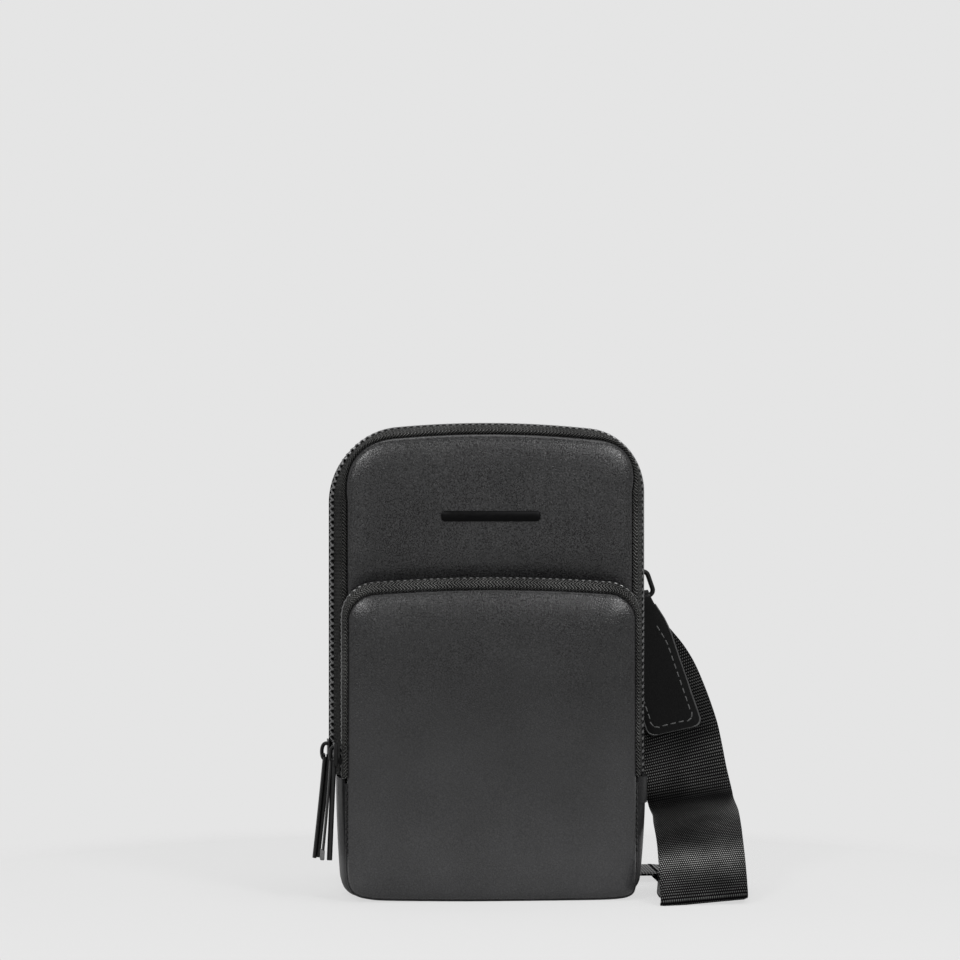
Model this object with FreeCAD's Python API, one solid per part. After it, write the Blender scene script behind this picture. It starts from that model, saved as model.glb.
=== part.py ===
"""Phone pouch: two zipped compartments in soft leather, with rings at the back and a webbing strap.

Millimetres. +Z is up, the front faces -Y, and the origin is the middle of the base on the ground.
"""

import math
import os

import FreeCAD
import Part

V = FreeCAD.Vector

# Outline of the main compartment, seen from the front
POUCH_HEIGHT = 185.5
POUCH_WIDTH = 125.0
TOP_ARCH_RADIUS = 268.0
TOP_CORNER_RADIUS = 26.0
LOWER_SIDE_RADIUS = 320.0
FOOT_RADIUS = 9.0

# Outline of the front pocket
POCKET_HEIGHT = 125.0
POCKET_WIDTH = 118.4
POCKET_ARCH_RADIUS = 600.0
POCKET_CORNER_RADIUS = 14.0

# Layers from the back to the front
LEATHER = 1.6
FOAM = 2.4
LINING = 0.6
MAIN_ROOM = 23.6
POCKET_ROOM = 8.4
POCKET_FOAM = 1.4
POCKET_LEATHER = 2.8
GUSSET = 1.2
FRONT_PUFF = 2.5

# Rolled edges and seams
FRONT_ROLL = 5.3
REAR_ROLL = 4.0
POCKET_ROLL = 3.3
POCKET_REAR_ROLL = 2.0
PUFF_ROLL = 3.4
PANEL_ROLL = 2.3
POCKET_LAP = 4.0
LAYER_INSET = 0.5
WALL_FACETS = 2
PANEL_FACETS = 2
CORNER_FACETS = 3
CREASE_FACETS = 4
POCKET_SHADOW_GAP = 1.0

# Fold at which the fronts tip forward
FOLD_HEIGHT = 48.0
FOLD_GAP = 0.6

# Zips
TOOTH_PITCH = 2.57
CHAIN_HALF = 2.1
CHAIN_GROOVE = 1.4
CHAIN_RISE = 0.6
CHAIN_VALLEY = 0.1
CHAIN_DEPTH = 0.8
MAIN_CHAIN_FROM_BACK = 17.0
POCKET_CHAIN_FROM_FRONT = 8.0

# Zip sliders and pulls
SLIDER_CLEAR = 0.3
SLIDER_PLATE = 0.7
SLIDER_LENGTH = 10.0
SLIDER_WIDTH = 8.0
SLIDER_POST = 0.8
SLIDER_ABOVE_STOP = 4.2
BAIL_WIDTH = 2.0
BAIL_BAR = 0.9
BAIL_LENGTH = 8.0
PULL_WIRE = 1.2
PULL_WIDTH = 5.2
PULL_THICK = 2.2
PULL_LENGTH = 40.0
PULL_WINDOW = 7.0
PULL_SLOT = 1.6
PULL_SOLID = 8.0
MAIN_PULL_LEAN = 5.0
POCKET_PULL_LEAN = 3.0

# Plain bar on the front
BAR_LENGTH = 39.0
BAR_HEIGHT = 3.0
BAR_THICK = 0.8
BAR_BELOW_TOP = 36.0

# Inside the main compartment
BOARD_THICK = 1.2
BOARD_LENGTH = 98.0
BOARD_CLEAR = 0.8
SLIP_WIDTH = 92.0
SLIP_BOTTOM = 22.0
SLIP_TOP = 112.0
SLIP_THICK = 0.8

# Rings and leather strap ends at the back
LUG_ANCHOR_X = 47.9
LUG_ANCHOR_Z = 145.2
LUG_REACH = 27.5
LUG_WIDTH = 16.0
LUG_LAYER = 1.3
STRAP_LEAN = 19.0
RING_STANDOFF = 5.0
RING_BAR = 2.0
RING_INSIDE = 20.6
RING_OPENING = 8.0
RING_CORNER = 1.5
RING_CLEAR = 0.35
TAB_WIDTH = 20.0
TAB_LENGTH = 55.0
TAB_CORNER = 3.0
LINK_LENGTH = 34.0
SQUARE_RING_OPENING = 6.0

# Webbing strap
STRAP_WIDTH = 35.0
STRAP_THICK = 1.6
STRAP_CLEAR = 0.3
STRAP_LAYER_GAP = 0.6
STRAP_TOP_WIDTH = 18.0
STRAP_X = 81.5
STRAP_YAW = 9.0
STRAP_ROLL = 3.4
STRAP_NOSE = 31.0
STRAP_NOSE_LENGTH = 14.0
STRAP_BELOW_TAB = 23.0
STRAP_SWAY = 1.6
STRAP_FLOOR_SHIFT = 7.0
HANK_GAP = 19.0
HANK_HALF_LENGTH = 51.0
HANK_RUNS = 9
LANDING_X = -9.5
LANDING_RADIUS = 10.0
TIE_X = 32.0
TIE_WIDTH = 10.0
TIE_THICK = 0.8

# Strap adjuster
ADJUSTER_DOWN = 72.0
ADJUSTER_HALF = 9.0
ADJUSTER_BAR = 1.8
ADJUSTER_RAIL = 2.0
ADJUSTER_SIDE_CLEAR = 0.5
ADJUSTER_TAIL = 11.0

# Depth of each layer, the pouch being centred front to back
DEPTH = (
    LEATHER + FOAM + LINING + MAIN_ROOM + LINING + FOAM + LEATHER
    + POCKET_ROOM + LINING + POCKET_FOAM + POCKET_LEATHER
)
BACK_OUT = DEPTH / 2
BACK_FOAM_OUT = BACK_OUT - LEATHER
BACK_LINING_OUT = BACK_FOAM_OUT - FOAM
ROOM_BACK = BACK_LINING_OUT - LINING
ROOM_FRONT = ROOM_BACK - MAIN_ROOM
FRONT_LINING_OUT = ROOM_FRONT - LINING
FRONT_FOAM_OUT = FRONT_LINING_OUT - FOAM
FRONT_OUT = FRONT_FOAM_OUT - LEATHER
POCKET_ROOM_FRONT = FRONT_OUT - POCKET_ROOM
POCKET_LINING_OUT = POCKET_ROOM_FRONT - LINING
POCKET_FOAM_OUT = POCKET_LINING_OUT - POCKET_FOAM
POCKET_OUT = POCKET_FOAM_OUT - POCKET_LEATHER

# Heights that follow the outline
SLIDER_HEIGHT = FOLD_HEIGHT + FOLD_GAP / 2 + SLIDER_ABOVE_STOP + SLIDER_LENGTH / 2
BAR_CENTRE = POUCH_HEIGHT - BAR_BELOW_TOP

# Chain positions, front to back
MAIN_CHAIN_Y = BACK_OUT - MAIN_CHAIN_FROM_BACK
POCKET_CHAIN_Y = POCKET_OUT + POCKET_CHAIN_FROM_FRONT
CHAIN_REACH = CHAIN_GROOVE / 2 + CHAIN_HALF

# Ring plane and strap layers behind the back
RING_Y = BACK_OUT + RING_STANDOFF
RING_EYE = RING_BAR * 0.58 + RING_CLEAR
RING_DROP = RING_OPENING / 2 + RING_BAR / 2
SQUARE_BAR_DOWN = RING_DROP + LINK_LENGTH + SQUARE_RING_OPENING + RING_BAR
LOOP_INNER = RING_EYE
LOOP_OUTER = RING_EYE + STRAP_THICK
FAR = 400.0


class Outline:
    """Closed front outline of tangent lines and arcs, with parallel insets."""

    def __init__(self, width, height, arch, corner):
        self.half = width / 2
        self.height = height
        self.arch = arch
        self.corner = corner
        self.corner_x = self.half - corner
        self.arch_z = height - arch
        self.corner_z = self.arch_z + math.sqrt((arch - corner) ** 2 - self.corner_x**2)
        self.arch_half = math.asin(self.corner_x / (arch - corner))
        self.side_x = self.half - LOWER_SIDE_RADIUS
        reach = LOWER_SIDE_RADIUS - FOOT_RADIUS
        rise = FOLD_HEIGHT - FOOT_RADIUS
        self.foot_x = self.side_x + math.sqrt(reach**2 - rise**2)
        self.foot_end = math.asin(rise / reach)
        self.leg = self.corner_z - FOLD_HEIGHT - FOLD_GAP / 2
        self.bend = corner * (math.pi / 2 - self.arch_half)
        self.crown = arch * self.arch_half * 2
        self.length = 2 * (self.leg + self.bend) + self.crown

    def wire(self, inset, y):
        """Outline moved inwards by inset, in the plane at y."""
        turn = math.pi / 2
        side_top = self.half - inset
        right = [
            arc(self.foot_x, FOOT_RADIUS, FOOT_RADIUS - inset, -turn, -self.foot_end, y),
            arc(self.side_x, FOLD_HEIGHT, LOWER_SIDE_RADIUS - inset, -self.foot_end, 0, y),
            line(side_top, FOLD_HEIGHT, side_top, self.corner_z, y),
            arc(self.corner_x, self.corner_z, self.corner - inset, 0, turn - self.arch_half, y),
        ]
        top = arc(0, self.arch_z, self.arch - inset, turn - self.arch_half, turn + self.arch_half, y)
        left = [
            arc(-self.corner_x, self.corner_z, self.corner - inset, turn + self.arch_half, 2 * turn, y),
            line(-side_top, self.corner_z, -side_top, FOLD_HEIGHT, y),
            arc(-self.side_x, FOLD_HEIGHT, LOWER_SIDE_RADIUS - inset, 2 * turn, 2 * turn + self.foot_end, y),
            arc(-self.foot_x, FOOT_RADIUS, FOOT_RADIUS - inset, 2 * turn + self.foot_end, 3 * turn, y),
        ]
        base = line(-self.foot_x, inset, self.foot_x, inset, y)
        return Part.Wire([base, *right, top, *left])

    def block(self, inset, y_from, y_to):
        """Solid of the inset outline between two depths."""
        face = Part.Face(self.wire(inset, y_from))
        return face.extrude(V(0, y_to - y_from, 0))

    def path(self, along, inset):
        """Point on the zip line: up the left leg, over the top and down the right leg."""
        mirrored = along > self.length / 2
        s = self.length - along if mirrored else along
        if s <= self.leg:
            x = -self.half + inset
            z = FOLD_HEIGHT + FOLD_GAP / 2 + s
        elif s <= self.leg + self.bend:
            angle = math.pi - (s - self.leg) / self.corner
            x = -self.corner_x + (self.corner - inset) * math.cos(angle)
            z = self.corner_z + (self.corner - inset) * math.sin(angle)
        else:
            angle = math.pi / 2 + self.arch_half - (s - self.leg - self.bend) / self.arch
            x = (self.arch - inset) * math.cos(angle)
            z = self.arch_z + (self.arch - inset) * math.sin(angle)
        return (-x if mirrored else x), z

    def bends(self, along):
        """True where the zip line is curved."""
        return self.leg < along < self.length - self.leg


def line(x0, z0, x1, z1, y):
    """Straight edge in the plane at y."""
    return Part.makeLine(V(x0, y, z0), V(x1, y, z1))


def arc(x, z, radius, start, end, y):
    """Circular edge about (x, z) in the plane at y, angles in radians."""
    points = []
    for angle in (start, (start + end) / 2, end):
        points.append(V(x + radius * math.cos(angle), y, z + radius * math.sin(angle)))
    return Part.Arc(*points).toShape()


def box(x0, x1, y0, y1, z0, z1):
    """Box between three pairs of limits."""
    corner = V(min(x0, x1), min(y0, y1), min(z0, z1))
    return Part.makeBox(abs(x1 - x0), abs(y1 - y0), abs(z1 - z0), corner)


def edges_at_depth(shape, y):
    """Edges that lie wholly in the plane at y."""
    found = []
    for edge in shape.Edges:
        bound = edge.BoundBox
        if abs(bound.YMin - y) < 1e-4 and abs(bound.YMax - y) < 1e-4:
            found.append(edge)
    return found


def rolled_block(outline, inset, y_from, y_to, roll_front, roll_back, facets):
    """Block whose front and back rims are rolled over in a few facets."""
    wires = []
    for k in range(facets + 1 if roll_front > 0 else 1):
        angle = math.pi / 2 * k / facets if roll_front > 0 else math.pi / 2
        turned = inset + roll_front * (1 - math.sin(angle))
        wires.append(outline.wire(turned, y_from + roll_front * (1 - math.cos(angle))))
    for k in range(facets + 1 if roll_back > 0 else 1):
        angle = math.pi / 2 * (1 - k / facets) if roll_back > 0 else math.pi / 2
        turned = inset + roll_back * (1 - math.sin(angle))
        wires.append(outline.wire(turned, y_to - roll_back * (1 - math.cos(angle))))
    return Part.makeLoft(wires, True, True)


def gusset_band(outline, y_from, y_to, roll_front, roll_back, lap_back):
    """Thin wall all round the outline, rolled in at the front and back towards the panels."""
    outer = rolled_block(outline, 0, y_from, y_to, roll_front, roll_back, WALL_FACETS)
    inner = rolled_block(
        outline, GUSSET, y_from + GUSSET, y_to - GUSSET, roll_front - GUSSET, roll_back - GUSSET, 1
    )
    middle = (y_from + y_to) / 2
    front_hole = outline.block(roll_front, y_from - 1, middle)
    back_hole = outline.block(roll_back + lap_back, middle, y_to + 1)
    return outer.cut(inner).cut(front_hole).cut(back_hole)


def above_fold(shape):
    """The part of a shape that tips forward at the fold."""
    return shape.common(box(-FAR, FAR, -FAR, FAR, FOLD_HEIGHT + FOLD_GAP / 2, FAR))


def below_fold(shape):
    """The part of a shape that stays with the base."""
    return shape.common(box(-FAR, FAR, -FAR, FAR, -FAR, FOLD_HEIGHT - FOLD_GAP / 2))


def between_depths(shape, y0, y1):
    """The part of a shape between two depths."""
    return shape.common(box(-FAR, FAR, y0, y1, -FAR, FAR))


def chain_half(outline, y_from, y_to, shift):
    """One half of a zip chain: a band along the outline with one rib for each tooth."""
    count = int(outline.length / TOOTH_PITCH)
    pitch = outline.length / count
    ribs = count - (1 if shift else 0)
    points = [outline.path(0, CHAIN_VALLEY)]
    for k in range(ribs):
        middle = (k + 0.5 + shift) * pitch
        points.append(outline.path(middle, -CHAIN_RISE))
        if k < ribs - 1:
            points.append(outline.path(middle + pitch / 2, CHAIN_VALLEY))
    points.append(outline.path(outline.length, CHAIN_VALLEY))
    points.append(outline.path(outline.length, CHAIN_DEPTH))
    for k in range(count, 0, -1):
        if outline.bends(k * pitch):
            points.append(outline.path(k * pitch, CHAIN_DEPTH))
    points.append(outline.path(0, CHAIN_DEPTH))
    corners = [V(x, y_from, z) for x, z in points]
    face = Part.Face(Part.makePolygon([*corners, corners[0]]))
    return face.extrude(V(0, y_to - y_from, 0))


def zip_halves(parts, name, outline, band, y_mid):
    """Front and rear tape and chain of a zip that follows the outline above the fold."""
    upper = above_fold(band)
    front_edge = y_mid - CHAIN_REACH
    rear_edge = y_mid + CHAIN_REACH
    parts[name + "_zip_tape_front"] = between_depths(upper, -FAR, front_edge)
    parts[name + "_zip_tape_rear"] = between_depths(upper, rear_edge, FAR)
    parts[name + "_zip_chain_front"] = chain_half(outline, front_edge, y_mid - CHAIN_GROOVE / 2, 0)
    parts[name + "_zip_chain_rear"] = chain_half(outline, y_mid + CHAIN_GROOVE / 2, rear_edge, 0.5)


def zip_slider(outline, y_mid):
    """Slider on the left leg of a zip: two plates, the post between them and the bail outside."""
    half_length = SLIDER_LENGTH / 2
    half_width = SLIDER_WIDTH / 2
    low = SLIDER_HEIGHT - half_length
    high = SLIDER_HEIGHT + half_length
    face = outline.half
    outer_in = CHAIN_RISE + SLIDER_CLEAR
    outer_out = outer_in + SLIDER_PLATE
    inner_out = GUSSET + SLIDER_CLEAR
    inner_in = inner_out + SLIDER_PLATE

    def plate(n0, n1, half):
        solid = box(-face - n0, -face - n1, y_mid - half, y_mid + half, low, high)
        rims = [e for e in solid.Edges if e.BoundBox.XLength > SLIDER_PLATE / 2]
        return solid.makeFillet(half * 0.45, rims)

    post = box(
        -face - outer_in - SLIDER_PLATE / 2, -face + inner_out + SLIDER_PLATE / 2,
        y_mid - SLIDER_POST / 2, y_mid + SLIDER_POST / 2, low + 0.6, SLIDER_HEIGHT - 1.0,
    )
    bail_gap = PULL_WIRE + 2 * SLIDER_CLEAR
    bail_out = outer_out + bail_gap + BAIL_BAR
    bail_half = BAIL_LENGTH / 2
    bail = box(
        -face - outer_in - SLIDER_PLATE / 2, -face - bail_out, y_mid - BAIL_WIDTH / 2, y_mid + BAIL_WIDTH / 2,
        SLIDER_HEIGHT - bail_half, SLIDER_HEIGHT + bail_half,
    )
    crown = [e for e in bail.Edges if e.BoundBox.XMax < -face - bail_out + 0.01 and e.BoundBox.YLength > 0.1]
    bail = bail.makeFillet(BAIL_BAR * 0.9, crown)
    eye = box(
        -face - outer_out, -face - outer_out - bail_gap, y_mid - BAIL_WIDTH, y_mid + BAIL_WIDTH,
        SLIDER_HEIGHT - bail_half + BAIL_BAR, SLIDER_HEIGHT + bail_half - BAIL_BAR,
    )
    bail = bail.cut(eye)
    inside = plate(-inner_out, -inner_in, CHAIN_REACH)
    solid = plate(outer_in, outer_out, half_width).fuse([inside, post, bail])
    return solid.removeSplitter()


def pull_hinge(outline, y_mid):
    """Point about which a pull swings, on the wire that lies in the bail."""
    out = CHAIN_RISE + SLIDER_CLEAR + SLIDER_PLATE + SLIDER_CLEAR + PULL_WIRE / 2
    height = SLIDER_HEIGHT - BAIL_LENGTH / 2 + BAIL_BAR + SLIDER_CLEAR + PULL_WIRE / 2
    return V(-outline.half - out, y_mid, height)


def zip_pull(outline, y_mid, lean):
    """Slim forked pull that hangs from the bail, leaning outwards by lean degrees."""
    wire = PULL_WIRE / 2
    half = PULL_WIDTH / 2
    cheek = BAIL_WIDTH / 2 + SLIDER_CLEAR + 0.1
    bar = Part.makeCylinder(wire, PULL_WIDTH, V(0, -half, 0), V(0, 1, 0))
    arms = box(-wire, wire, -half, half, -PULL_WINDOW - 0.5, 0)
    arms = arms.cut(box(-FAR, FAR, -cheek, cheek, -PULL_WINDOW, FAR))
    thick = PULL_THICK / 2
    blade = box(-thick, thick, -half, half, -PULL_LENGTH, -PULL_WINDOW)
    slot_top = -PULL_WINDOW - PULL_SOLID
    blade = blade.cut(box(-FAR, FAR, -PULL_SLOT / 2, PULL_SLOT / 2, -FAR, slot_top))
    blade = blade.cut(Part.makeCylinder(PULL_SLOT / 2, FAR, V(-FAR / 2, 0, slot_top), V(1, 0, 0)))
    rims = [e for e in blade.Edges if e.BoundBox.ZLength > PULL_SOLID and abs(e.BoundBox.Center.y) > half - 0.01]
    blade = blade.makeFillet(0.5, rims)
    solid = bar.fuse([arms, blade]).removeSplitter()
    solid.rotate(V(0, 0, 0), V(0, 1, 0), lean)
    solid.translate(pull_hinge(outline, y_mid))
    return solid


def rounded_rectangle(width, height, radius, y):
    """Wire of a rectangle about the origin in the plane at y, its corners rounded in short facets."""
    points = []
    for quarter in range(4):
        x = (width / 2 - radius) * (1 if quarter in (0, 3) else -1)
        z = (height / 2 - radius) * (1 if quarter < 2 else -1)
        for k in range(CORNER_FACETS + 1):
            angle = math.pi / 2 * (quarter + k / CORNER_FACETS)
            points.append(V(x + radius * math.cos(angle), y, z + radius * math.sin(angle)))
    return Part.makePolygon([*points, points[0]])


def wire_ring(inside, opening):
    """Rectangular ring of rounded bar about the origin."""
    outer = rounded_rectangle(inside + 2 * RING_BAR, opening + 2 * RING_BAR, RING_CORNER + RING_BAR, -RING_BAR / 2)
    inner = rounded_rectangle(inside, opening, RING_CORNER, -RING_BAR / 2)
    thick = V(0, RING_BAR, 0)
    ring = Part.Face(outer).extrude(thick).cut(Part.Face(inner).extrude(thick))
    rims = edges_at_depth(ring, -RING_BAR / 2) + edges_at_depth(ring, RING_BAR / 2)
    return ring.makeChamfer(RING_BAR * 0.28, rims)


def pin(radius, width, z):
    """Cylinder across the strap, at height z in the ring plane."""
    return Part.makeCylinder(radius, width, V(-width / 2, 0, z), V(1, 0, 0))


def ring_lug():
    """Leather lug: stitched flat on the back, with an eye for the upper bar of the ring."""
    eye = RING_EYE + LUG_LAYER
    back = -RING_STANDOFF
    flat = back + 2 * LUG_LAYER
    low = RING_DROP
    corners = [
        (back, LUG_REACH), (flat, LUG_REACH), (flat, low + 2.6 * eye),
        (eye * 0.94, low + eye * 0.34), (-eye * 0.94, low - eye * 0.34), (back, low + 1.1 * eye),
    ]
    points = [V(-LUG_WIDTH / 2, y, z) for y, z in corners]
    body = Part.Face(Part.makePolygon([*points, points[0]])).extrude(V(LUG_WIDTH, 0, 0))
    body = body.fuse(pin(eye, LUG_WIDTH, low))
    return body.cut(pin(RING_EYE, LUG_WIDTH + 2, low)).removeSplitter()


def strap_tab():
    """Leather strap end folded round the lower bar, with a slot that takes the webbing."""
    slot = STRAP_THICK / 2 + STRAP_CLEAR
    outer = slot + LUG_LAYER
    top = -RING_DROP
    end = top - TAB_LENGTH
    body = box(-TAB_WIDTH / 2, TAB_WIDTH / 2, -outer, outer, end, top)
    corners = [e for e in body.Edges if e.BoundBox.YLength > outer and e.BoundBox.ZMax < end + 0.01]
    body = body.makeFillet(TAB_CORNER, corners)
    body = body.fuse(pin(RING_EYE + LUG_LAYER, TAB_WIDTH, top))
    body = body.cut(pin(RING_EYE, TAB_WIDTH + 2, top))
    body = body.cut(box(-FAR, FAR, -slot, slot, end - 1, top - RING_EYE - LUG_LAYER))
    return body.removeSplitter()


def strap_link():
    """Leather link between the left ring and the square ring of the strap."""
    eye = RING_EYE + LUG_LAYER
    top = -RING_DROP
    end = top - LINK_LENGTH
    body = box(-TAB_WIDTH / 2, TAB_WIDTH / 2, -eye * 0.8, eye * 0.8, end, top)
    body = body.fuse([pin(eye, TAB_WIDTH, top), pin(eye, TAB_WIDTH, end)])
    return body.cut(pin(RING_EYE, TAB_WIDTH + 2, top)).cut(pin(RING_EYE, TAB_WIDTH + 2, end)).removeSplitter()


def hairpin(width, radius_in, z, below, y):
    """Half turn of webbing round a bar at height z and depth y, closed above or below the bar."""
    start = V(-width / 2, y, z)
    ring = Part.makeCylinder(radius_in + STRAP_THICK, width, start, V(1, 0, 0))
    ring = ring.cut(Part.makeCylinder(radius_in, width, start, V(1, 0, 0)))
    limit = (z - FAR, z) if below else (z, z + FAR)
    return ring.common(box(-FAR, FAR, -FAR, FAR, *limit))


def strap_return():
    """Webbing that turns over the square ring and comes down beside the back towards the adjuster."""
    top = -SQUARE_BAR_DOWN
    end = -ADJUSTER_DOWN + ADJUSTER_TAIL
    turn = hairpin(STRAP_WIDTH, LOOP_INNER, top, False, 0)
    leg = box(-STRAP_WIDTH / 2, STRAP_WIDTH / 2, -LOOP_OUTER, -LOOP_INNER, end, top)
    return turn.fuse(leg).removeSplitter()


def adjuster_centre_y():
    """Depth of the adjuster's middle bar, clear of the running webbing."""
    return LOOP_INNER - STRAP_CLEAR - STRAP_THICK - ADJUSTER_BAR / 2


def adjuster_fold():
    """Sewn end of the webbing, turned round the adjuster's middle bar."""
    y = adjuster_centre_y()
    radius = ADJUSTER_BAR / 2
    turn = hairpin(STRAP_WIDTH, radius, -ADJUSTER_DOWN, True, y)
    half = STRAP_WIDTH / 2
    high = -ADJUSTER_DOWN + ADJUSTER_TAIL
    inner = box(-half, half, y - radius - STRAP_THICK, y - radius, -ADJUSTER_DOWN, high)
    outer = box(-half, half, y + radius, y + radius + STRAP_THICK, -ADJUSTER_DOWN, high)
    return turn.fuse([inner, outer]).removeSplitter()


def strap_adjuster():
    """Adjuster frame: outer bars behind the running webbing, middle bar in front of it, two rails."""
    y_mid = adjuster_centre_y()
    y_bar = LOOP_OUTER + STRAP_CLEAR
    half = STRAP_WIDTH / 2 + ADJUSTER_SIDE_CLEAR
    low = -ADJUSTER_DOWN - ADJUSTER_HALF
    high = -ADJUSTER_DOWN + ADJUSTER_HALF
    thick = ADJUSTER_BAR / 2
    solids = []
    for side in (-1, 1):
        rail = box(side * half, side * (half + ADJUSTER_RAIL), y_mid - thick, y_bar + ADJUSTER_BAR, low, high)
        solids.append(rail)
    for z in (low, high):
        solids.append(box(-half, half, y_bar, y_bar + ADJUSTER_BAR, z, z + math.copysign(ADJUSTER_BAR, -z - ADJUSTER_DOWN)))
    middle = Part.makeCylinder(thick, 2 * half, V(-half, y_mid, -ADJUSTER_DOWN), V(1, 0, 0))
    return middle.fuse(solids).removeSplitter()


def place_strap_end(shape, side):
    """Move a shape from the ring's own frame to the left (-1) or right (1) ring on the back."""
    moved = shape.copy()
    moved.rotate(V(0, 0, 0), V(0, 1, 0), -STRAP_LEAN)
    moved.translate(ring_centre(side))
    return moved


def hang(side, down, y=0.0, sideways=0.0):
    """Point at a distance down the leaning strap from the ring's centre."""
    lean = math.radians(STRAP_LEAN)
    x = math.sin(lean) * down + math.cos(lean) * sideways
    z = -math.cos(lean) * down + math.sin(lean) * sideways
    return ring_centre(side) + V(x, y, z)


def ring_centre(side):
    """Centre of a ring, hung from its lug's anchor at the strap's lean."""
    lean = math.radians(STRAP_LEAN)
    return V(
        side * LUG_ANCHOR_X + math.sin(lean) * LUG_REACH, RING_Y, LUG_ANCHOR_Z - math.cos(lean) * LUG_REACH
    )


def triangle(a, b, c):
    """Flat face with three corners."""
    return Part.Face(Part.makePolygon([a, b, c, a]))


def ribbon(stations):
    """Webbing through stations, each a centre, a width vector and a direction of travel."""
    sections = []
    for centre, width, travel in stations:
        normal = width.cross(travel)
        normal.normalize()
        normal = normal * (STRAP_THICK / 2)
        half = width * 0.5
        sections.append(
            [centre - half - normal, centre + half - normal, centre + half + normal, centre - half + normal]
        )
    faces = []
    for before, after in zip(sections, sections[1:]):
        for k in range(4):
            j = (k + 1) % 4
            faces.append(triangle(before[k], before[j], after[j]))
            faces.append(triangle(before[k], after[j], after[k]))
    for a, b, c, d in (sections[0][::-1], sections[-1]):
        faces.append(triangle(a, b, c))
        faces.append(triangle(a, c, d))
    shell = Part.Shell(faces)
    shell.sewShape()
    solid = Part.Solid(shell)
    if solid.Volume < 0:
        solid.reverse()
    return solid


def travel_at(points, k):
    """Direction of travel at one of a row of points."""
    before = points[max(k - 1, 0)]
    after = points[min(k + 1, len(points) - 1)]
    way = after - before
    return way.normalize()


def strap_drop():
    """Webbing from inside the right strap end down to the crease, widening below the ring."""
    lean = math.radians(STRAP_LEAN)
    wide = V(math.cos(lean), 0, math.sin(lean))
    down = V(math.sin(lean), 0, -math.cos(lean))
    top = RING_DROP + RING_EYE + LUG_LAYER + 1.0
    tab_end = RING_DROP + TAB_LENGTH
    shares = [(0.0, 0.0), (0.14, 0.05), (0.35, 0.30), (0.60, 0.62), (0.82, 0.88), (1.0, 1.0)]
    stations = []
    for share, growth in shares:
        width = STRAP_TOP_WIDTH + (STRAP_WIDTH - STRAP_TOP_WIDTH) * growth
        stations.append((hang(1, top + (tab_end - top) * share), wide * width, down))
    stations.append((drop_foot(), wide * STRAP_WIDTH, down))
    return ribbon(stations)


def drop_foot():
    """Point down the right strap at which the webbing turns forward."""
    return hang(1, RING_DROP + TAB_LENGTH + STRAP_BELOW_TAB, 0.0, -STRAP_SWAY)


def strap_ramp():
    """Webbing from the crease forward and down to the nose of its fold on the ground."""
    lean = math.radians(STRAP_LEAN)
    start = drop_foot()
    floor = STRAP_THICK / 2 + STRAP_WIDTH / 2 * math.tan(math.radians(STRAP_ROLL))
    rise = start.z - floor
    run = start.y + STRAP_NOSE
    slope = [
        (0.0, 1.0), (0.012, 0.955), (0.06, 0.905), (0.14, 0.865), (0.31, 0.785), (0.50, 0.68),
        (0.64, 0.57), (0.78, 0.41), (0.90, 0.235), (0.965, 0.115), (0.995, 0.06), (1.0, 0.03),
    ]
    points = []
    for forward, height in slope:
        x = start.x + (STRAP_X - start.x) * min(1.0, forward * 4)
        points.append(V(x, start.y - run * forward, floor + rise * height))
    points.append(V(STRAP_X, start.y - run * 0.985, floor))
    points.append(V(STRAP_X, nose_end(), floor))
    level = V(1, math.tan(math.radians(STRAP_YAW)), math.tan(math.radians(STRAP_ROLL)))
    tilted = V(1, 0, math.tan(lean))
    stations = []
    for k, point in enumerate(points):
        share = min(1.0, slope[min(k, len(slope) - 1)][0] * 1.6)
        width = tilted * (1 - share) + level * share
        if k == 0:
            width = V(math.cos(lean), 0, math.sin(lean))
            way = V(math.sin(lean), 0, -math.cos(lean))
        else:
            way = travel_at(points, k)
        if k == len(points) - 1:
            width = V(1, math.tan(math.radians(STRAP_YAW)), 0)
            point = V(point.x, point.y, STRAP_THICK / 2)
            way = V(0, 1, 0)
        stations.append((point, width * STRAP_WIDTH, way))
    return ribbon(stations)


def nose_end():
    """Depth at which the folded webbing lies flat on the ground."""
    return -STRAP_NOSE + STRAP_NOSE_LENGTH


def layer_bottom(layer):
    """Height of the underside of a layer of folded webbing."""
    return layer * (STRAP_THICK + STRAP_LAYER_GAP)


def flat_strip(corners, layer):
    """Flat piece of webbing with the given corners in one layer."""
    points = [V(x, y, layer_bottom(layer)) for x, y in corners]
    return Part.Face(Part.makePolygon([*points, points[0]])).extrude(V(0, 0, STRAP_THICK))


def crease(start, end, layer):
    """Rounded fold that joins a layer to the one above it along a line on the ground."""
    along = V(end[0] - start[0], end[1] - start[1], 0)
    side = V(along.y, -along.x, 0).normalize()
    inner = STRAP_LAYER_GAP / 2
    outer = STRAP_THICK + inner
    centre = V(start[0], start[1], layer_bottom(layer) + outer)
    points = []
    for radius, order in ((outer, range(CREASE_FACETS + 1)), (inner, range(CREASE_FACETS, -1, -1))):
        for k in order:
            angle = math.pi * (k / CREASE_FACETS - 0.5)
            points.append(centre + side * (radius * math.cos(angle)) + V(0, 0, radius * math.sin(angle)))
    return Part.Face(Part.makePolygon([*points, points[0]])).extrude(along)


def hank_depths():
    """Front and back limits of the folded webbing behind the pouch."""
    front = BACK_OUT + HANK_GAP
    return front, front + STRAP_WIDTH


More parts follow.
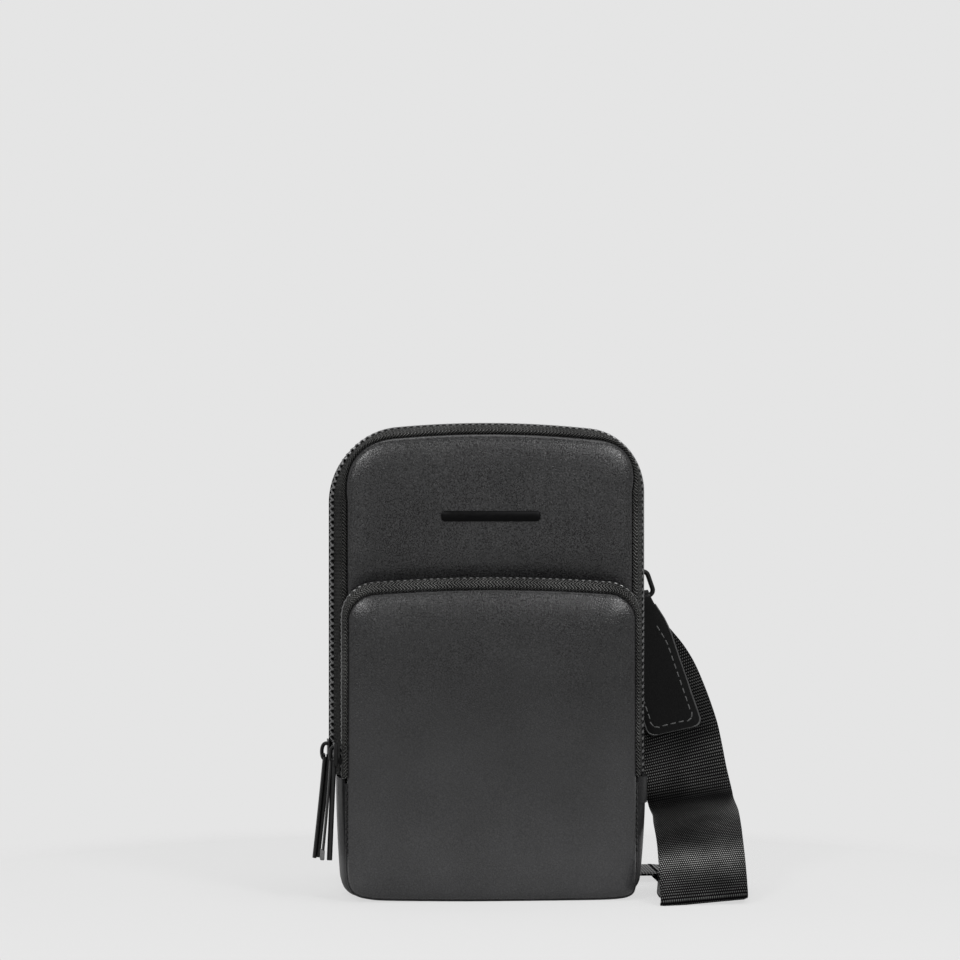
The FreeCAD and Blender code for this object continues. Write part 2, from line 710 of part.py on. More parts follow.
def strap_floor_run():
    """Webbing that lies on the ground beside the pouch and turns the corner behind it."""
    near = STRAP_X - STRAP_WIDTH / 2
    far = STRAP_X + STRAP_WIDTH / 2
    skew = STRAP_WIDTH / 2 * math.tan(math.radians(STRAP_YAW))
    front, back = hank_depths()
    start = [(near, nose_end() - skew), (far, nose_end() + skew)]
    near += STRAP_FLOOR_SHIFT
    far += STRAP_FLOOR_SHIFT
    lower = flat_strip([*start, (far, front), (near, back)], 0)
    upper = flat_strip([(near, front), (far, front), (near, back)], 1)
    return lower.fuse([upper, crease((near, back), (far, front), 0)]).removeSplitter()


def strap_hank():
    """Webbing folded to and fro behind the pouch, ending in a turn towards the back."""
    front, back = hank_depths()
    near = STRAP_X + STRAP_FLOOR_SHIFT - STRAP_WIDTH / 2
    solids = []
    left_edge = LANDING_X - STRAP_WIDTH / 2
    for run in range(1, HANK_RUNS + 1):
        right = near if run == 1 else HANK_HALF_LENGTH
        if run == HANK_RUNS:
            corners = [(right, front), (right, back), (left_edge + STRAP_WIDTH, back), (left_edge, front)]
        else:
            corners = [(right, front), (right, back), (-HANK_HALF_LENGTH, back), (-HANK_HALF_LENGTH, front)]
        solids.append(flat_strip(corners, run))
        if run < HANK_RUNS:
            end = -HANK_HALF_LENGTH if run % 2 else HANK_HALF_LENGTH
            points = ((end, front), (end, back)) if run % 2 == 0 else ((end, back), (end, front))
            solids.append(crease(*points, run))
    landing = [(left_edge, front), (left_edge + STRAP_WIDTH, back), (left_edge + STRAP_WIDTH, riser_foot()),
               (left_edge, riser_foot())]
    solids.append(flat_strip(landing, HANK_RUNS + 1))
    solids.append(crease((left_edge + STRAP_WIDTH, back), (left_edge, front), HANK_RUNS))
    whole = solids[0].fuse(solids[1:])
    return whole.removeSplitter()


def riser_foot():
    """Depth at which the webbing leaves the hank and starts to bend upwards."""
    return RING_Y + (LOOP_INNER + LOOP_OUTER) / 2 + LANDING_RADIUS


def strap_riser():
    """Webbing that bends up from the hank and runs up the back to the square ring."""
    lean = math.radians(STRAP_LEAN)
    wide = V(math.cos(lean), 0, math.sin(lean))
    level = V(1, 0, 0)
    foot = layer_bottom(HANK_RUNS + 1) + STRAP_THICK / 2
    y_run = (LOOP_INNER + LOOP_OUTER) / 2
    centre = ring_centre(-1)
    straight = (centre.z - foot - LANDING_RADIUS) / math.cos(lean)
    top_of_bend = hang(-1, straight, y_run)
    stations = []
    steps = 6
    for k in range(steps):
        angle = math.pi / 2 * k / steps
        share = k / steps
        x = LANDING_X + (top_of_bend.x - LANDING_X) * share
        point = V(
            x, riser_foot() - LANDING_RADIUS * math.sin(angle), foot + LANDING_RADIUS * (1 - math.cos(angle))
        )
        width = level * (1 - share) + wide * share
        stations.append((point, width * STRAP_WIDTH, V(0, -math.cos(angle), math.sin(angle))))
    up = V(-math.sin(lean), 0, math.cos(lean))
    stations.append((top_of_bend, wide * STRAP_WIDTH, up))
    stations.append((hang(-1, SQUARE_BAR_DOWN, y_run), wide * STRAP_WIDTH, up))
    return ribbon(stations)


def strap_tie():
    """Soft tie round the folded webbing."""
    front, back = hank_depths()
    low = layer_bottom(1) - STRAP_CLEAR
    high = layer_bottom(HANK_RUNS) + STRAP_THICK + STRAP_CLEAR
    x0 = TIE_X - TIE_WIDTH / 2
    x1 = TIE_X + TIE_WIDTH / 2
    outer = box(
        x0, x1, front - STRAP_CLEAR - TIE_THICK, back + STRAP_CLEAR + TIE_THICK, low - TIE_THICK, high + TIE_THICK
    )
    return outer.cut(box(x0 - 1, x1 + 1, front - STRAP_CLEAR, back + STRAP_CLEAR, low, high))


def build_pouch(parts):
    """Panels, padding, linings, gussets and zips of the two compartments."""
    main = Outline(POUCH_WIDTH, POUCH_HEIGHT, TOP_ARCH_RADIUS, TOP_CORNER_RADIUS)
    pocket = Outline(POCKET_WIDTH, POCKET_HEIGHT, POCKET_ARCH_RADIUS, POCKET_CORNER_RADIUS)

    # Back panel with its padding and lining
    parts["back_panel"] = main.block(REAR_ROLL, BACK_FOAM_OUT, BACK_OUT)
    parts["back_foam"] = main.block(REAR_ROLL + LAYER_INSET, BACK_LINING_OUT, BACK_FOAM_OUT)
    parts["lining_back"] = main.block(REAR_ROLL + LAYER_INSET, ROOM_BACK, BACK_LINING_OUT)
    parts["slip_pocket"] = box(
        -SLIP_WIDTH / 2, SLIP_WIDTH / 2, ROOM_BACK - SLIP_THICK, ROOM_BACK, SLIP_BOTTOM, SLIP_TOP
    )

    # Walls of the main compartment: leather below the fold, zip above it
    seam = (LEATHER - GUSSET) / 2
    band = gusset_band(main, FRONT_OUT + seam, BACK_OUT - seam, FRONT_ROLL, REAR_ROLL, 0)
    parts["base_gusset"] = below_fold(band)
    zip_halves(parts, "main", main, band, MAIN_CHAIN_Y)
    board_front = FRONT_OUT + seam + FRONT_ROLL + BOARD_CLEAR
    parts["base_board"] = box(
        -BOARD_LENGTH / 2, BOARD_LENGTH / 2, board_front, ROOM_BACK - BOARD_CLEAR, GUSSET, GUSSET + BOARD_THICK
    )

    # Front panel: flat behind the pocket, padded above it
    front = rolled_block(main, FRONT_ROLL, FRONT_OUT - FRONT_PUFF, FRONT_FOAM_OUT, PUFF_ROLL, 0, PANEL_FACETS)
    pocket_space = pocket.block(-POCKET_SHADOW_GAP, -FAR, FRONT_OUT)
    parts["front_panel_upper"] = above_fold(front.cut(pocket_space))
    parts["front_panel_lower"] = below_fold(main.block(FRONT_ROLL, FRONT_OUT, FRONT_FOAM_OUT))
    parts["front_foam"] = above_fold(main.block(FRONT_ROLL + LAYER_INSET, FRONT_FOAM_OUT, FRONT_LINING_OUT))
    parts["lining_front"] = above_fold(main.block(FRONT_ROLL + LAYER_INSET, FRONT_LINING_OUT, ROOM_FRONT))
    face = FRONT_OUT - FRONT_PUFF
    bar = box(
        -BAR_LENGTH / 2, BAR_LENGTH / 2, face - BAR_THICK, face, BAR_CENTRE - BAR_HEIGHT / 2, BAR_CENTRE + BAR_HEIGHT / 2
    )
    parts["front_bar"] = bar.makeFillet(BAR_THICK * 0.4, edges_at_depth(bar, face - BAR_THICK))

    # Front pocket
    pocket_band = gusset_band(
        pocket, POCKET_FOAM_OUT - GUSSET, FRONT_OUT, POCKET_ROLL, POCKET_REAR_ROLL, POCKET_LAP
    )
    parts["pocket_gusset"] = below_fold(pocket_band)
    zip_halves(parts, "pocket", pocket, pocket_band, POCKET_CHAIN_Y)
    panel = rolled_block(pocket, POCKET_ROLL, POCKET_OUT, POCKET_FOAM_OUT, PANEL_ROLL, 0, PANEL_FACETS)
    parts["pocket_panel_upper"] = above_fold(panel)
    parts["pocket_panel_lower"] = below_fold(panel)
    inset = POCKET_ROLL + LAYER_INSET
    parts["pocket_foam"] = above_fold(pocket.block(inset, POCKET_FOAM_OUT, POCKET_LINING_OUT))
    parts["pocket_lining"] = above_fold(pocket.block(inset, POCKET_LINING_OUT, POCKET_ROOM_FRONT))

    # Sliders and pulls on the left legs of the zips
    parts["main_slider"] = zip_slider(main, MAIN_CHAIN_Y)
    parts["main_pull"] = zip_pull(main, MAIN_CHAIN_Y, MAIN_PULL_LEAN)
    parts["pocket_slider"] = zip_slider(pocket, POCKET_CHAIN_Y)
    parts["pocket_pull"] = zip_pull(pocket, POCKET_CHAIN_Y, POCKET_PULL_LEAN)
    print("main pull hinge", pull_hinge(main, MAIN_CHAIN_Y))
    print("pocket pull hinge", pull_hinge(pocket, POCKET_CHAIN_Y))


def build_strap(parts):
    """Rings, leather strap ends, adjuster and webbing behind and beside the pouch."""
    ring = wire_ring(RING_INSIDE, RING_OPENING)
    for side, name in ((-1, "left"), (1, "right")):
        parts["ring_loop_" + name] = place_strap_end(ring_lug(), side)
        parts["ring_" + name] = place_strap_end(ring, side)
    parts["strap_tab_right"] = place_strap_end(strap_tab(), 1)
    parts["strap_tab_left"] = place_strap_end(strap_link(), -1)
    square = wire_ring(STRAP_WIDTH + 2 * ADJUSTER_SIDE_CLEAR, SQUARE_RING_OPENING)
    square.translate(V(0, 0, -SQUARE_BAR_DOWN + (SQUARE_RING_OPENING + RING_BAR) / 2))
    parts["strap_square_ring"] = place_strap_end(square, -1)
    parts["strap_return"] = place_strap_end(strap_return(), -1)
    parts["strap_adjuster"] = place_strap_end(strap_adjuster(), -1)
    parts["adjuster_fold"] = place_strap_end(adjuster_fold(), -1)
    parts["strap_drop"] = strap_drop()
    parts["strap_ramp"] = strap_ramp()
    parts["strap_floor_run"] = strap_floor_run()
    parts["strap_hank"] = strap_hank()
    parts["strap_riser"] = strap_riser()
    parts["strap_tie"] = strap_tie()
    for side, name in ((-1, "left"), (1, "right")):
        print(name, "ring centre", ring_centre(side), "upper bar", hang(side, -RING_DROP))


def main():
    """Build every piece and write one file for each."""
    parts = {}
    build_pouch(parts)
    build_strap(parts)
    os.makedirs("parts", exist_ok=True)
    for name, shape in parts.items():
        if len(shape.Solids) != 1 or not shape.isValid():
            print("check", name, "solids", len(shape.Solids), "valid", shape.isValid())
        solid = shape.Solids[0] if len(shape.Solids) == 1 else shape
        solid.exportStep("parts/" + name + ".step")
    print(len(parts), "pieces")


main()
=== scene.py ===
import logging
import math
from collections import Counter
from dataclasses import dataclass
from enum import Enum
from functools import lru_cache
from typing import Callable, Dict, List, Optional, Sequence, Tuple

import bmesh
import bpy
import numpy as np
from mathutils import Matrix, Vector, noise
from mathutils.geometry import delaunay_2d_cdt


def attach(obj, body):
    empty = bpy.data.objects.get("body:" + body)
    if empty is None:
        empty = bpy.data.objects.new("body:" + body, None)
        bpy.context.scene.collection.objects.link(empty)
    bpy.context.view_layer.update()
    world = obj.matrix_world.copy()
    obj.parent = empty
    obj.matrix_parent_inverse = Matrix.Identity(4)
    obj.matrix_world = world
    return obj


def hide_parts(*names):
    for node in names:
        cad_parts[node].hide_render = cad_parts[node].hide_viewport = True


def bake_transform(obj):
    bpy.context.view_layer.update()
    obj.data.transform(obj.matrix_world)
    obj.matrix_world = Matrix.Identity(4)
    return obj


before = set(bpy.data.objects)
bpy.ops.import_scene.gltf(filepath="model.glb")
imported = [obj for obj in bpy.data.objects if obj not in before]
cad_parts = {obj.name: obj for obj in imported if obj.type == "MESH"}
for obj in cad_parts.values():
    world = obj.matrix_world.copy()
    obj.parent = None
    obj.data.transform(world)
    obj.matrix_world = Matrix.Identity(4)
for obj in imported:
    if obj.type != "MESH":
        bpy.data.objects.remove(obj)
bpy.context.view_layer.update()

LOG = logging.getLogger("pouch")
MM = 0.001
Array = np.ndarray
Socket = bpy.types.NodeSocket
Material = bpy.types.Material
Thing = bpy.types.Object
Pair = Tuple[float, float]
Point = Tuple[float, float, float]
Colour = Point
Leaf = Tuple[float, float, float, float, float]
Profile = List[Tuple[Array, float]]
Mapping = Callable[[Array], Array]
Face = Tuple[int, ...]

# Height in mm at which the pocket's lid starts, and depth of the folds of both fronts
POCKET_SPLIT = 60.0
FOLD_Y = -23.0

# A height in mm above everything, how far tapes and walls tuck in behind the panels and at what depth, and the span of
# values that most of the soft noise fills
TALL = 1000.0
TUCK, TUCK_DROP = 1.6, 1.25
CLOUD_SPAN = (0.3, 0.7)


# ---- finishes


class NodeBench:
    """Node tree of one material, with short calls for the nodes that the finishes share."""

    def __init__(self, name: str) -> None:
        """Start an empty material with a shader and an output.

        Args:
            name: name of the material.
        """
        self.material = bpy.data.materials.new(name)
        self.material.use_nodes = True
        self.tree = self.material.node_tree
        self.tree.nodes.clear()
        self.shader = self.node("BsdfPrincipled")
        self.output = self.node("OutputMaterial", {"Surface": self.shader.outputs["BSDF"]})

    def node(self, kind: str, inputs: Optional[Dict[object, object]] = None, **settings: object) -> bpy.types.Node:
        """Add a node, set its options and feed its inputs.

        Args:
            kind: Blender's name of the node type, without its first part.
            inputs: socket or value of each input, by name or number.
            **settings: options of the node.

        Returns:
            The new node.
        """
        made = self.tree.nodes.new("ShaderNode" + kind)
        for key, value in settings.items():
            setattr(made, key, value)
        for key, value in (inputs or {}).items():
            self.feed(made.inputs[key], value)
        return made

    def feed(self, target: Socket, value: object) -> None:
        """Link a socket to an input, or set the input to a plain value.

        Args:
            target: input socket.
            value: output socket or value.
        """
        if isinstance(value, Socket):
            self.tree.links.new(value, target)
        else:
            target.default_value = value

    def set(self, name: str, value: object) -> None:
        """Give one input of the shader a socket or a plain value."""
        self.feed(self.shader.inputs[name], value)

    def mottle(self, share: object, tone: Colour, low: float, high: float) -> None:
        """Colour the surface from a darker to a lighter shade of a tone."""
        self.set("Base Color", self.blend_tone(share, shade(tone, low), shade(tone, high)))

    def math(self, operation: str, *values: object, clamp: bool = False) -> Socket:
        """Result of a math node on sockets or numbers, kept between 0 and 1 if it is clamped."""
        return self.node("Math", dict(enumerate(values)), operation=operation, use_clamp=clamp).outputs[0]

    def place_mm(self) -> Socket:
        """Position on the piece in millimetres."""
        where = self.node("TexCoord").outputs["Object"]
        return self.node("VectorMath", {0: where, "Scale": 1.0 / MM}, operation="SCALE").outputs[0]

    def cloth_mm(self) -> Tuple[Socket, Socket]:
        """Distances along and across the cloth in millimetres, from its UV map."""
        parts = self.node("SeparateXYZ", {0: self.node("TexCoord").outputs["UV"]})
        return parts.outputs[0], parts.outputs[1]

    def attribute(self, name: str) -> Socket:
        """Value of a named attribute of the piece, 0 where it has none."""
        return self.node("Attribute", attribute_name=name).outputs["Fac"]

    def clouds(self, place: Socket, scale: float, detail: float) -> Socket:
        """Soft noise at a position, with so many features in a unit of it and so many octaves."""
        return self.node("TexNoise", {"Vector": place, "Scale": scale, "Detail": detail}).outputs["Fac"]

    def pebbles(self, place: Socket, scale: float) -> Socket:
        """Distance to the borders of small cells, so many in a unit of the position."""
        made = self.node("TexVoronoi", {"Vector": place, "Scale": scale}, feature="DISTANCE_TO_EDGE")
        return made.outputs["Distance"]

    def remap(self, value: Socket, span: Pair, to: Pair, **settings: object) -> Socket:
        """Value carried from one span of numbers to another."""
        return self.node("MapRange", dict(enumerate((value, *span, *to))), **settings).outputs[0]

    def blend_tone(self, share: Socket, dark: Colour, light: Colour) -> Socket:
        """Colour between a dark one, where the share is 0, and a light one, where it is 1."""
        mixed = {0: share, 6: (*dark, 1.0), 7: (*light, 1.0)}
        return self.node("Mix", mixed, data_type="RGBA").outputs[2]

    def relief(self, height: Socket, depth_mm: float, strength: float) -> None:
        """Raise the shading by a height from 0 to 1, to a depth in mm of which a share shows."""
        inputs = {"Strength": strength, "Distance": depth_mm * MM, "Height": height}
        self.set("Normal", self.node("Bump", inputs).outputs[0])


def shade(tone: Colour, factor: float) -> Colour:
    """Colour made lighter or darker by a factor."""
    return tuple(part * factor for part in tone)


@dataclass(frozen=True)
class Leather:
    """Grained leather with a soft gloss."""

    name: str
    tone: Colour
    roughness: float
    grain_mm: float = 0.95
    relief_mm: float = 0.07
    strength: float = 0.5
    contrast: float = 0.25
    gloss: float = 0.5
    # Painted light: how much lighter the base colour grows towards the bottom, standing in for light bounced up from
    # the floor, and the heights over which that fades out
    painted_bounce: float = 0.0
    smooth: float = 1.0
    painted_bounce_z: Pair = (4.0, 85.0)
    smooth_z: Pair = (60.0, 128.0)

    def build(self) -> Material:
        """Make the material.

        Returns:
            The material.
        """
        bench = NodeBench(self.name)
        place = bench.place_mm()
        sway = bench.node("TexNoise", {"Vector": place, "Scale": 0.8})
        bent = bench.node("VectorMath", {0: place, 1: sway.outputs["Color"]}, operation="ADD")
        cells = bench.remap(bench.pebbles(bent.outputs[0], 1.0 / self.grain_mm), (0.0, 0.35), (0.0, 1.0))
        fine = bench.remap(bench.clouds(place, 2.4, 1.0), (0.35, 0.65), (0.0, 1.0))
        broad = bench.clouds(place, 0.035, 3.0)
        height = bench.math("ADD", bench.math("MULTIPLY", cells, 0.6), bench.math("MULTIPLY", fine, 0.6))
        up = bench.node("SeparateXYZ", {0: place}).outputs[2]
        grain = bench.math("MULTIPLY_ADD", cells, 0.35, bench.math("MULTIPLY_ADD", fine, 0.65, -0.5))
        grain = bench.math("MULTIPLY", grain, bench.remap(up, self.smooth_z, (self.smooth, 1.0)))
        worn = bench.math("ADD", grain, bench.remap(broad, CLOUD_SPAN, (0.44, 0.56)))
        tone = bench.blend_tone(worn, shade(self.tone, 1 - self.contrast), shade(self.tone, 1 + self.contrast))
        # Painted light: the base colour is scaled up towards the bottom, standing in for light bounced up from the
        # floor
        painted_bounce = {0: tone, "Scale": bench.remap(up, self.painted_bounce_z, (1 + self.painted_bounce, 1.0))}
        bench.set("Base Color", bench.node("VectorMath", painted_bounce, operation="SCALE").outputs[0])
        bench.set("Roughness", bench.remap(broad, CLOUD_SPAN, (self.roughness - 0.03, self.roughness + 0.04)))
        spread = 0.5 * self.contrast
        bench.set("Specular IOR Level", bench.remap(
            worn, (0.0, 1.0), (self.gloss * (1 - spread), self.gloss * (1 + spread))))
        bench.set("Specular Tint", (0.9, 0.9, 0.9, 1.0))
        bench.relief(height, self.relief_mm, self.strength)
        return bench.material


class Weave(Enum):
    """How the threads of a cloth lie."""

    CHEVRON = "chevron"
    DOTS = "dots"
    PLAIN = "plain"


@dataclass(frozen=True)
class Cloth:
    """Woven cloth whose pattern follows the UV map in millimetres."""

    name: str
    dark: Colour
    light: Colour
    weave: Weave
    row_mm: float
    column_mm: float
    relief_mm: float
    roughness: float = 0.72
    strength: float = 0.6
    specular: float = 0.4
    sharp: float = 1.0
    level: float = 1.0
    bead_mm: float = 0.95

    def build(self) -> Material:
        """Make the material.

        Returns:
            The material.
        """
        bench = NodeBench(self.name)
        along, across = bench.cloth_mm()
        height = self._threads(bench, along, across)
        place = bench.place_mm()
        fuzz = bench.clouds(place, 3.0, 2.0)
        broad = bench.clouds(place, 0.05, 2.0)
        height = bench.math("ADD", height, bench.math("MULTIPLY", fuzz, 0.3))
        share = bench.math("MULTIPLY", height, bench.remap(broad, CLOUD_SPAN, (0.75, 1.0)))
        # Painted light and shade: a per-vertex attribute scales the cloth's colour share up for painted highlights and
        # down for painted shade
        painted_light = bench.math("ADD", bench.attribute("painted_light"), 1.0)
        share = bench.math("MULTIPLY", bench.math("POWER", share, self.sharp), painted_light)
        share = bench.math("MULTIPLY", share, self.level, clamp=True)
        bench.set("Base Color", bench.blend_tone(share, self.dark, self.light))
        bench.set("Roughness", self.roughness)
        bench.set("Specular IOR Level", bench.math("MULTIPLY", share, self.specular / self.level, clamp=True))
        bench.relief(height, self.relief_mm, self.strength)
        return bench.material

    def _threads(self, bench: NodeBench, along: object, across: object) -> Socket:
        """Height of the threads from 0 to 1.

        Args:
            bench: node tree to add to.
            along: distance along the cloth.
            across: distance across it.

        Returns:
            The height's socket.
        """
        if self.weave is Weave.CHEVRON:
            uneven = bench.math("ADD", along, bench.clouds(bench.place_mm(), 0.9, 3.0))
            column = bench.math("PINGPONG", across, self.column_mm)
            turned = bench.math("ADD", uneven, column)
            wave = bench.math("SINE", bench.math("MULTIPLY", turned, 2 * math.pi / self.row_mm))
            crossed = bench.math("SUBTRACT", along, column)
            bead = bench.math("SINE", bench.math("MULTIPLY", crossed, 2 * math.pi / self.bead_mm))
            thread = bench.math("MULTIPLY_ADD", wave, 0.5, 0.5)
            return bench.math("MULTIPLY", thread, bench.math("MULTIPLY_ADD", bead, 0.36, 0.64))
        rows = bench.math("DIVIDE", along, self.row_mm)
        row = bench.math("FLOOR", rows)
        shift = bench.math("MULTIPLY", row, 0.5 if self.weave is Weave.DOTS else 0.0)
        columns = bench.math("ADD", bench.math("DIVIDE", across, self.column_mm), shift)
        ridge = bench.math("SINE", bench.math("MULTIPLY", bench.math("FRACT", rows), math.pi))
        bead = bench.math("SINE", bench.math("MULTIPLY", bench.math("FRACT", columns), math.pi))
        return bench.math("MULTIPLY", ridge, bead)


@dataclass(frozen=True)
class Metal:
    """Plated or painted metal with faint handling marks."""

    name: str
    tone: Colour
    roughness: float
    plated: float = 1.0

    def build(self) -> Material:
        """Make the material.

        Returns:
            The material.
        """
        bench = NodeBench(self.name)
        place = bench.place_mm()
        marks = bench.clouds(place, 0.9, 4.0)
        bench.mottle(marks, self.tone, 0.8, 1.2)
        bench.set("Metallic", self.plated)
        bench.set("Specular IOR Level", 0.15)
        bench.set("Roughness", bench.remap(marks, CLOUD_SPAN, (self.roughness - 0.06, self.roughness + 0.1)))
        bench.relief(bench.clouds(place, 4.0, 2.0), 0.01, 0.25)
        return bench.material


@dataclass(frozen=True)
class Thread:
    """Twisted sewing thread."""

    name: str
    tone: Colour

    def build(self) -> Material:
        """Make the material.

        Returns:
            The material.
        """
        bench = NodeBench(self.name)
        twist = bench.clouds(bench.place_mm(), 5.0, 2.0)
        bench.mottle(twist, self.tone, 0.6, 1.3)
        bench.set("Roughness", 0.6)
        bench.relief(twist, 0.05, 0.5)
        return bench.material


@dataclass(frozen=True)
class Fibreboard:
    """Pressed board inside the base."""

    name: str
    tone: Colour

    def build(self) -> Material:
        """Make the material.

        Returns:
            The material.
        """
        bench = NodeBench(self.name)
        specks = bench.clouds(bench.place_mm(), 0.8, 5.0)
        bench.mottle(specks, self.tone, 0.7, 1.3)
        bench.set("Roughness", 0.85)
        bench.relief(specks, 0.08, 0.4)
        return bench.material


class Finish(Enum):
    """The finishes of the pouch."""

    # Shell leather, with painted light from the floor towards the bottom
    SHELL = Leather(
        "shell leather", (0.0145, 0.0145, 0.0150), 0.24, grain_mm=1.2, relief_mm=0.05, strength=1.0, contrast=0.85,
        gloss=0.40, painted_bounce=1.35, smooth=0.3,
    )
    # Side-wall leather: its tone, darker than the shell leather's, is painted shade for walls that face away from the
    # lamps; it also gets painted floor light towards the bottom
    GUSSET = Leather(
        "gusset leather", (0.012, 0.012, 0.0125), 0.42, grain_mm=1.2, relief_mm=0.045, strength=1.0, contrast=0.35,
        gloss=0.18, painted_bounce=0.5,
    )
    STRAP_END = Leather(
        "strap end leather", (0.0032, 0.0032, 0.0032), 0.34, grain_mm=0.8, relief_mm=0.04, gloss=0.11
    )
    # Painted highlight: a lighter leather for the strap end's rounded edge, where it catches the light
    EDGE = Leather("edge with a painted highlight", (0.045, 0.045, 0.045), 0.32, grain_mm=0.5, relief_mm=0.02)
    PULL = Leather("pull leather", (0.007, 0.007, 0.007), 0.44, grain_mm=0.6, relief_mm=0.03, gloss=0.25)
    # Light grey leather for the lower end of the pocket pull's inner leaf
    PULL_TIP = Leather("light grey tip of the pulls", (0.10, 0.10, 0.10), 0.6, grain_mm=0.4, relief_mm=0.03)
    TAPE = Cloth(
        "zip tape", (0.003, 0.003, 0.003), (0.210, 0.210, 0.205), Weave.CHEVRON, 1.35, 1.9, 0.18,
        roughness=0.75, specular=0.2, strength=0.7, sharp=2.6,
    )
    WEBBING = Cloth(
        "webbing", (0.0020, 0.0020, 0.0022), (0.31, 0.31, 0.30), Weave.DOTS, 1.2, 0.85, 0.12,
        roughness=0.36, specular=0.6, strength=0.6, sharp=3.8, level=0.52,
    )
    LINING = Cloth(
        "lining cloth", (0.016, 0.016, 0.017), (0.045, 0.045, 0.046), Weave.PLAIN, 0.55, 0.55, 0.06,
        roughness=0.7, specular=0.25,
    )
    TIE = Cloth(
        "elastic tie", (0.005, 0.005, 0.005), (0.03, 0.03, 0.03), Weave.PLAIN, 0.9, 0.6, 0.15, specular=0.25
    )
    TEETH = Metal("zip teeth", (0.12, 0.12, 0.12), 0.34)
    HARDWARE = Metal("painted hardware", (0.006, 0.006, 0.006), 0.38, plated=0.0)
    PLATE = Metal("blank front bar", (0.0058, 0.0058, 0.006), 0.38)
    LIGHT_THREAD = Thread("light thread", (0.11, 0.11, 0.11))
    DARK_THREAD = Thread("dark thread", (0.004, 0.004, 0.004))
    BOARD = Fibreboard("base board", (0.05, 0.047, 0.043))


@lru_cache(maxsize=None)
def material_of(finish: Finish) -> Material:
    """Material of a finish, made when it is first asked for."""
    return finish.value.build()


# ---- mesh helpers


def link(name: str, data: object) -> Thing:
    """New object of the scene.

    Args:
        name: its name.
        data: its mesh, curve, light or camera.

    Returns:
        The object.
    """
    thing = bpy.data.objects.new(name, data)
    bpy.context.scene.collection.objects.link(thing)
    return thing


@dataclass
class Shape:
    """Vertices in millimetres, faces and the faces' UV corners in millimetres."""

    vertices: List[Point]
    faces: List[Face]
    corners: Optional[List[List[Pair]]] = None

    def add(self, other: "Shape") -> "Shape":
        """Append another shape.

        Args:
            other: shape to append.

        Returns:
            This shape.
        """
        start = len(self.vertices)
        self.vertices = list(self.vertices) + list(other.vertices)
        self.faces = list(self.faces) + [tuple(k + start for k in face) for face in other.faces]
        if self.corners is not None and other.corners is not None:
            self.corners = list(self.corners) + list(other.corners)
        return self

    def moved(self, place: Mapping) -> "Shape":
        """Shape whose vertices have gone through a mapping of points."""
        points = place(np.asarray(self.vertices, dtype=float))
        return Shape([tuple(point) for point in points], self.faces, self.corners)

    def at(self, x: float, y: float, z: float) -> "Shape":
        """Shape moved to a place."""
        return self.moved(lambda points: points + np.array([x, y, z]))

    def plain(self) -> "Shape":
        """Shape without UV corners."""
        return Shape(self.vertices, self.faces)

    def piece(self, name: str, finish: Finish, sharp_deg: float = 45.0) -> Thing:
        """Object of the shape, with its normals outwards and smooth shading.

        Args:
            name: name of the object.
            finish: its finish.
            sharp_deg: edges that turn more than this stay sharp.

        Returns:
            The new object.
        """
        mesh = bpy.data.meshes.new(name)
        mesh.from_pydata([(x * MM, y * MM, z * MM) for x, y, z in self.vertices], [], self.faces)
        if self.corners is not None:
            layer = mesh.uv_layers.new(name="cloth")
            flat = [part for face in self.corners for corner in face for part in corner]
            layer.data.foreach_set("uv", flat)
        made = bmesh.new()
        made.from_mesh(mesh)
        bmesh.ops.recalc_face_normals(made, faces=made.faces)
        made.to_mesh(mesh)
        made.free()
        mesh.shade_smooth()
        mesh.set_sharp_from_angle(angle=math.radians(sharp_deg))
        mesh.materials.append(material_of(finish))
        return link(name, mesh)


def smooth_share(value: Array, low: float, high: float) -> Array:
    """Smooth step from 0 at the low value to 1 at the high one."""
    share = np.clip((np.asarray(value, dtype=float) - low) / (high - low), 0.0, 1.0)
    return share * share * (3.0 - 2.0 * share)


def loft(rows: Array, along: Optional[Array] = None, ends: bool = True) -> Shape:
    """Skin over rows of points, each a closed loop.

    Args:
        rows: array of rows, points in a row and coordinates.
        along: distance of each row along the piece, for the UV corners, or nothing if it needs none.
        ends: whether the first and last loop are covered.

    Returns:
        The skin, with UV corners in millimetres if it has any.
    """
    if along is None:
        return loft(rows, np.zeros(len(rows)), ends).plain()
    count, size = rows.shape[:2]
    steps = np.linalg.norm(np.diff(rows[count // 2], axis=0, append=rows[count // 2][:1]), axis=1)
    around = np.concatenate([[0.0], np.cumsum(steps)])
    faces: List[Face] = []
    corners: List[List[Pair]] = []
    for i in range(count - 1):
        for j in range(size):
            k = (j + 1) % size
            faces.append((i * size + j, (i + 1) * size + j, (i + 1) * size + k, i * size + k))
            corners.append([
                (along[i], around[j]), (along[i + 1], around[j]),
                (along[i + 1], around[j + 1]), (along[i], around[j + 1]),
            ])
    if ends:
        for i in (0, count - 1):
            faces.append(tuple(i * size + j for j in range(size)))
            corners.append([(along[i], around[j]) for j in range(size)])
    return Shape([tuple(point) for point in rows.reshape(-1, 3)], faces, corners)


def ease_rows(rows: Array, per_span: int) -> Array:
    """Smooth curve through rows of numbers.

    Args:
        rows: array whose rows the curve passes through.
        per_span: steps between two rows.

    Returns:
        The denser rows.
    """
    padded = np.concatenate([2 * rows[:1] - rows[1:2], rows, 2 * rows[-1:] - rows[-2:-1]])
    eased = []
    for k in range(1, len(padded) - 2):
        before, start, end, after = padded[k - 1:k + 3]
        for step in range(per_span):
            t = step / per_span
            eased.append(0.5 * (
                2 * start + (end - before) * t + (2 * before - 5 * start + 4 * end - after) * t**2
                + (3 * start - before - 3 * end + after) * t**3
            ))
    eased.append(rows[-1])
    return np.array(eased)


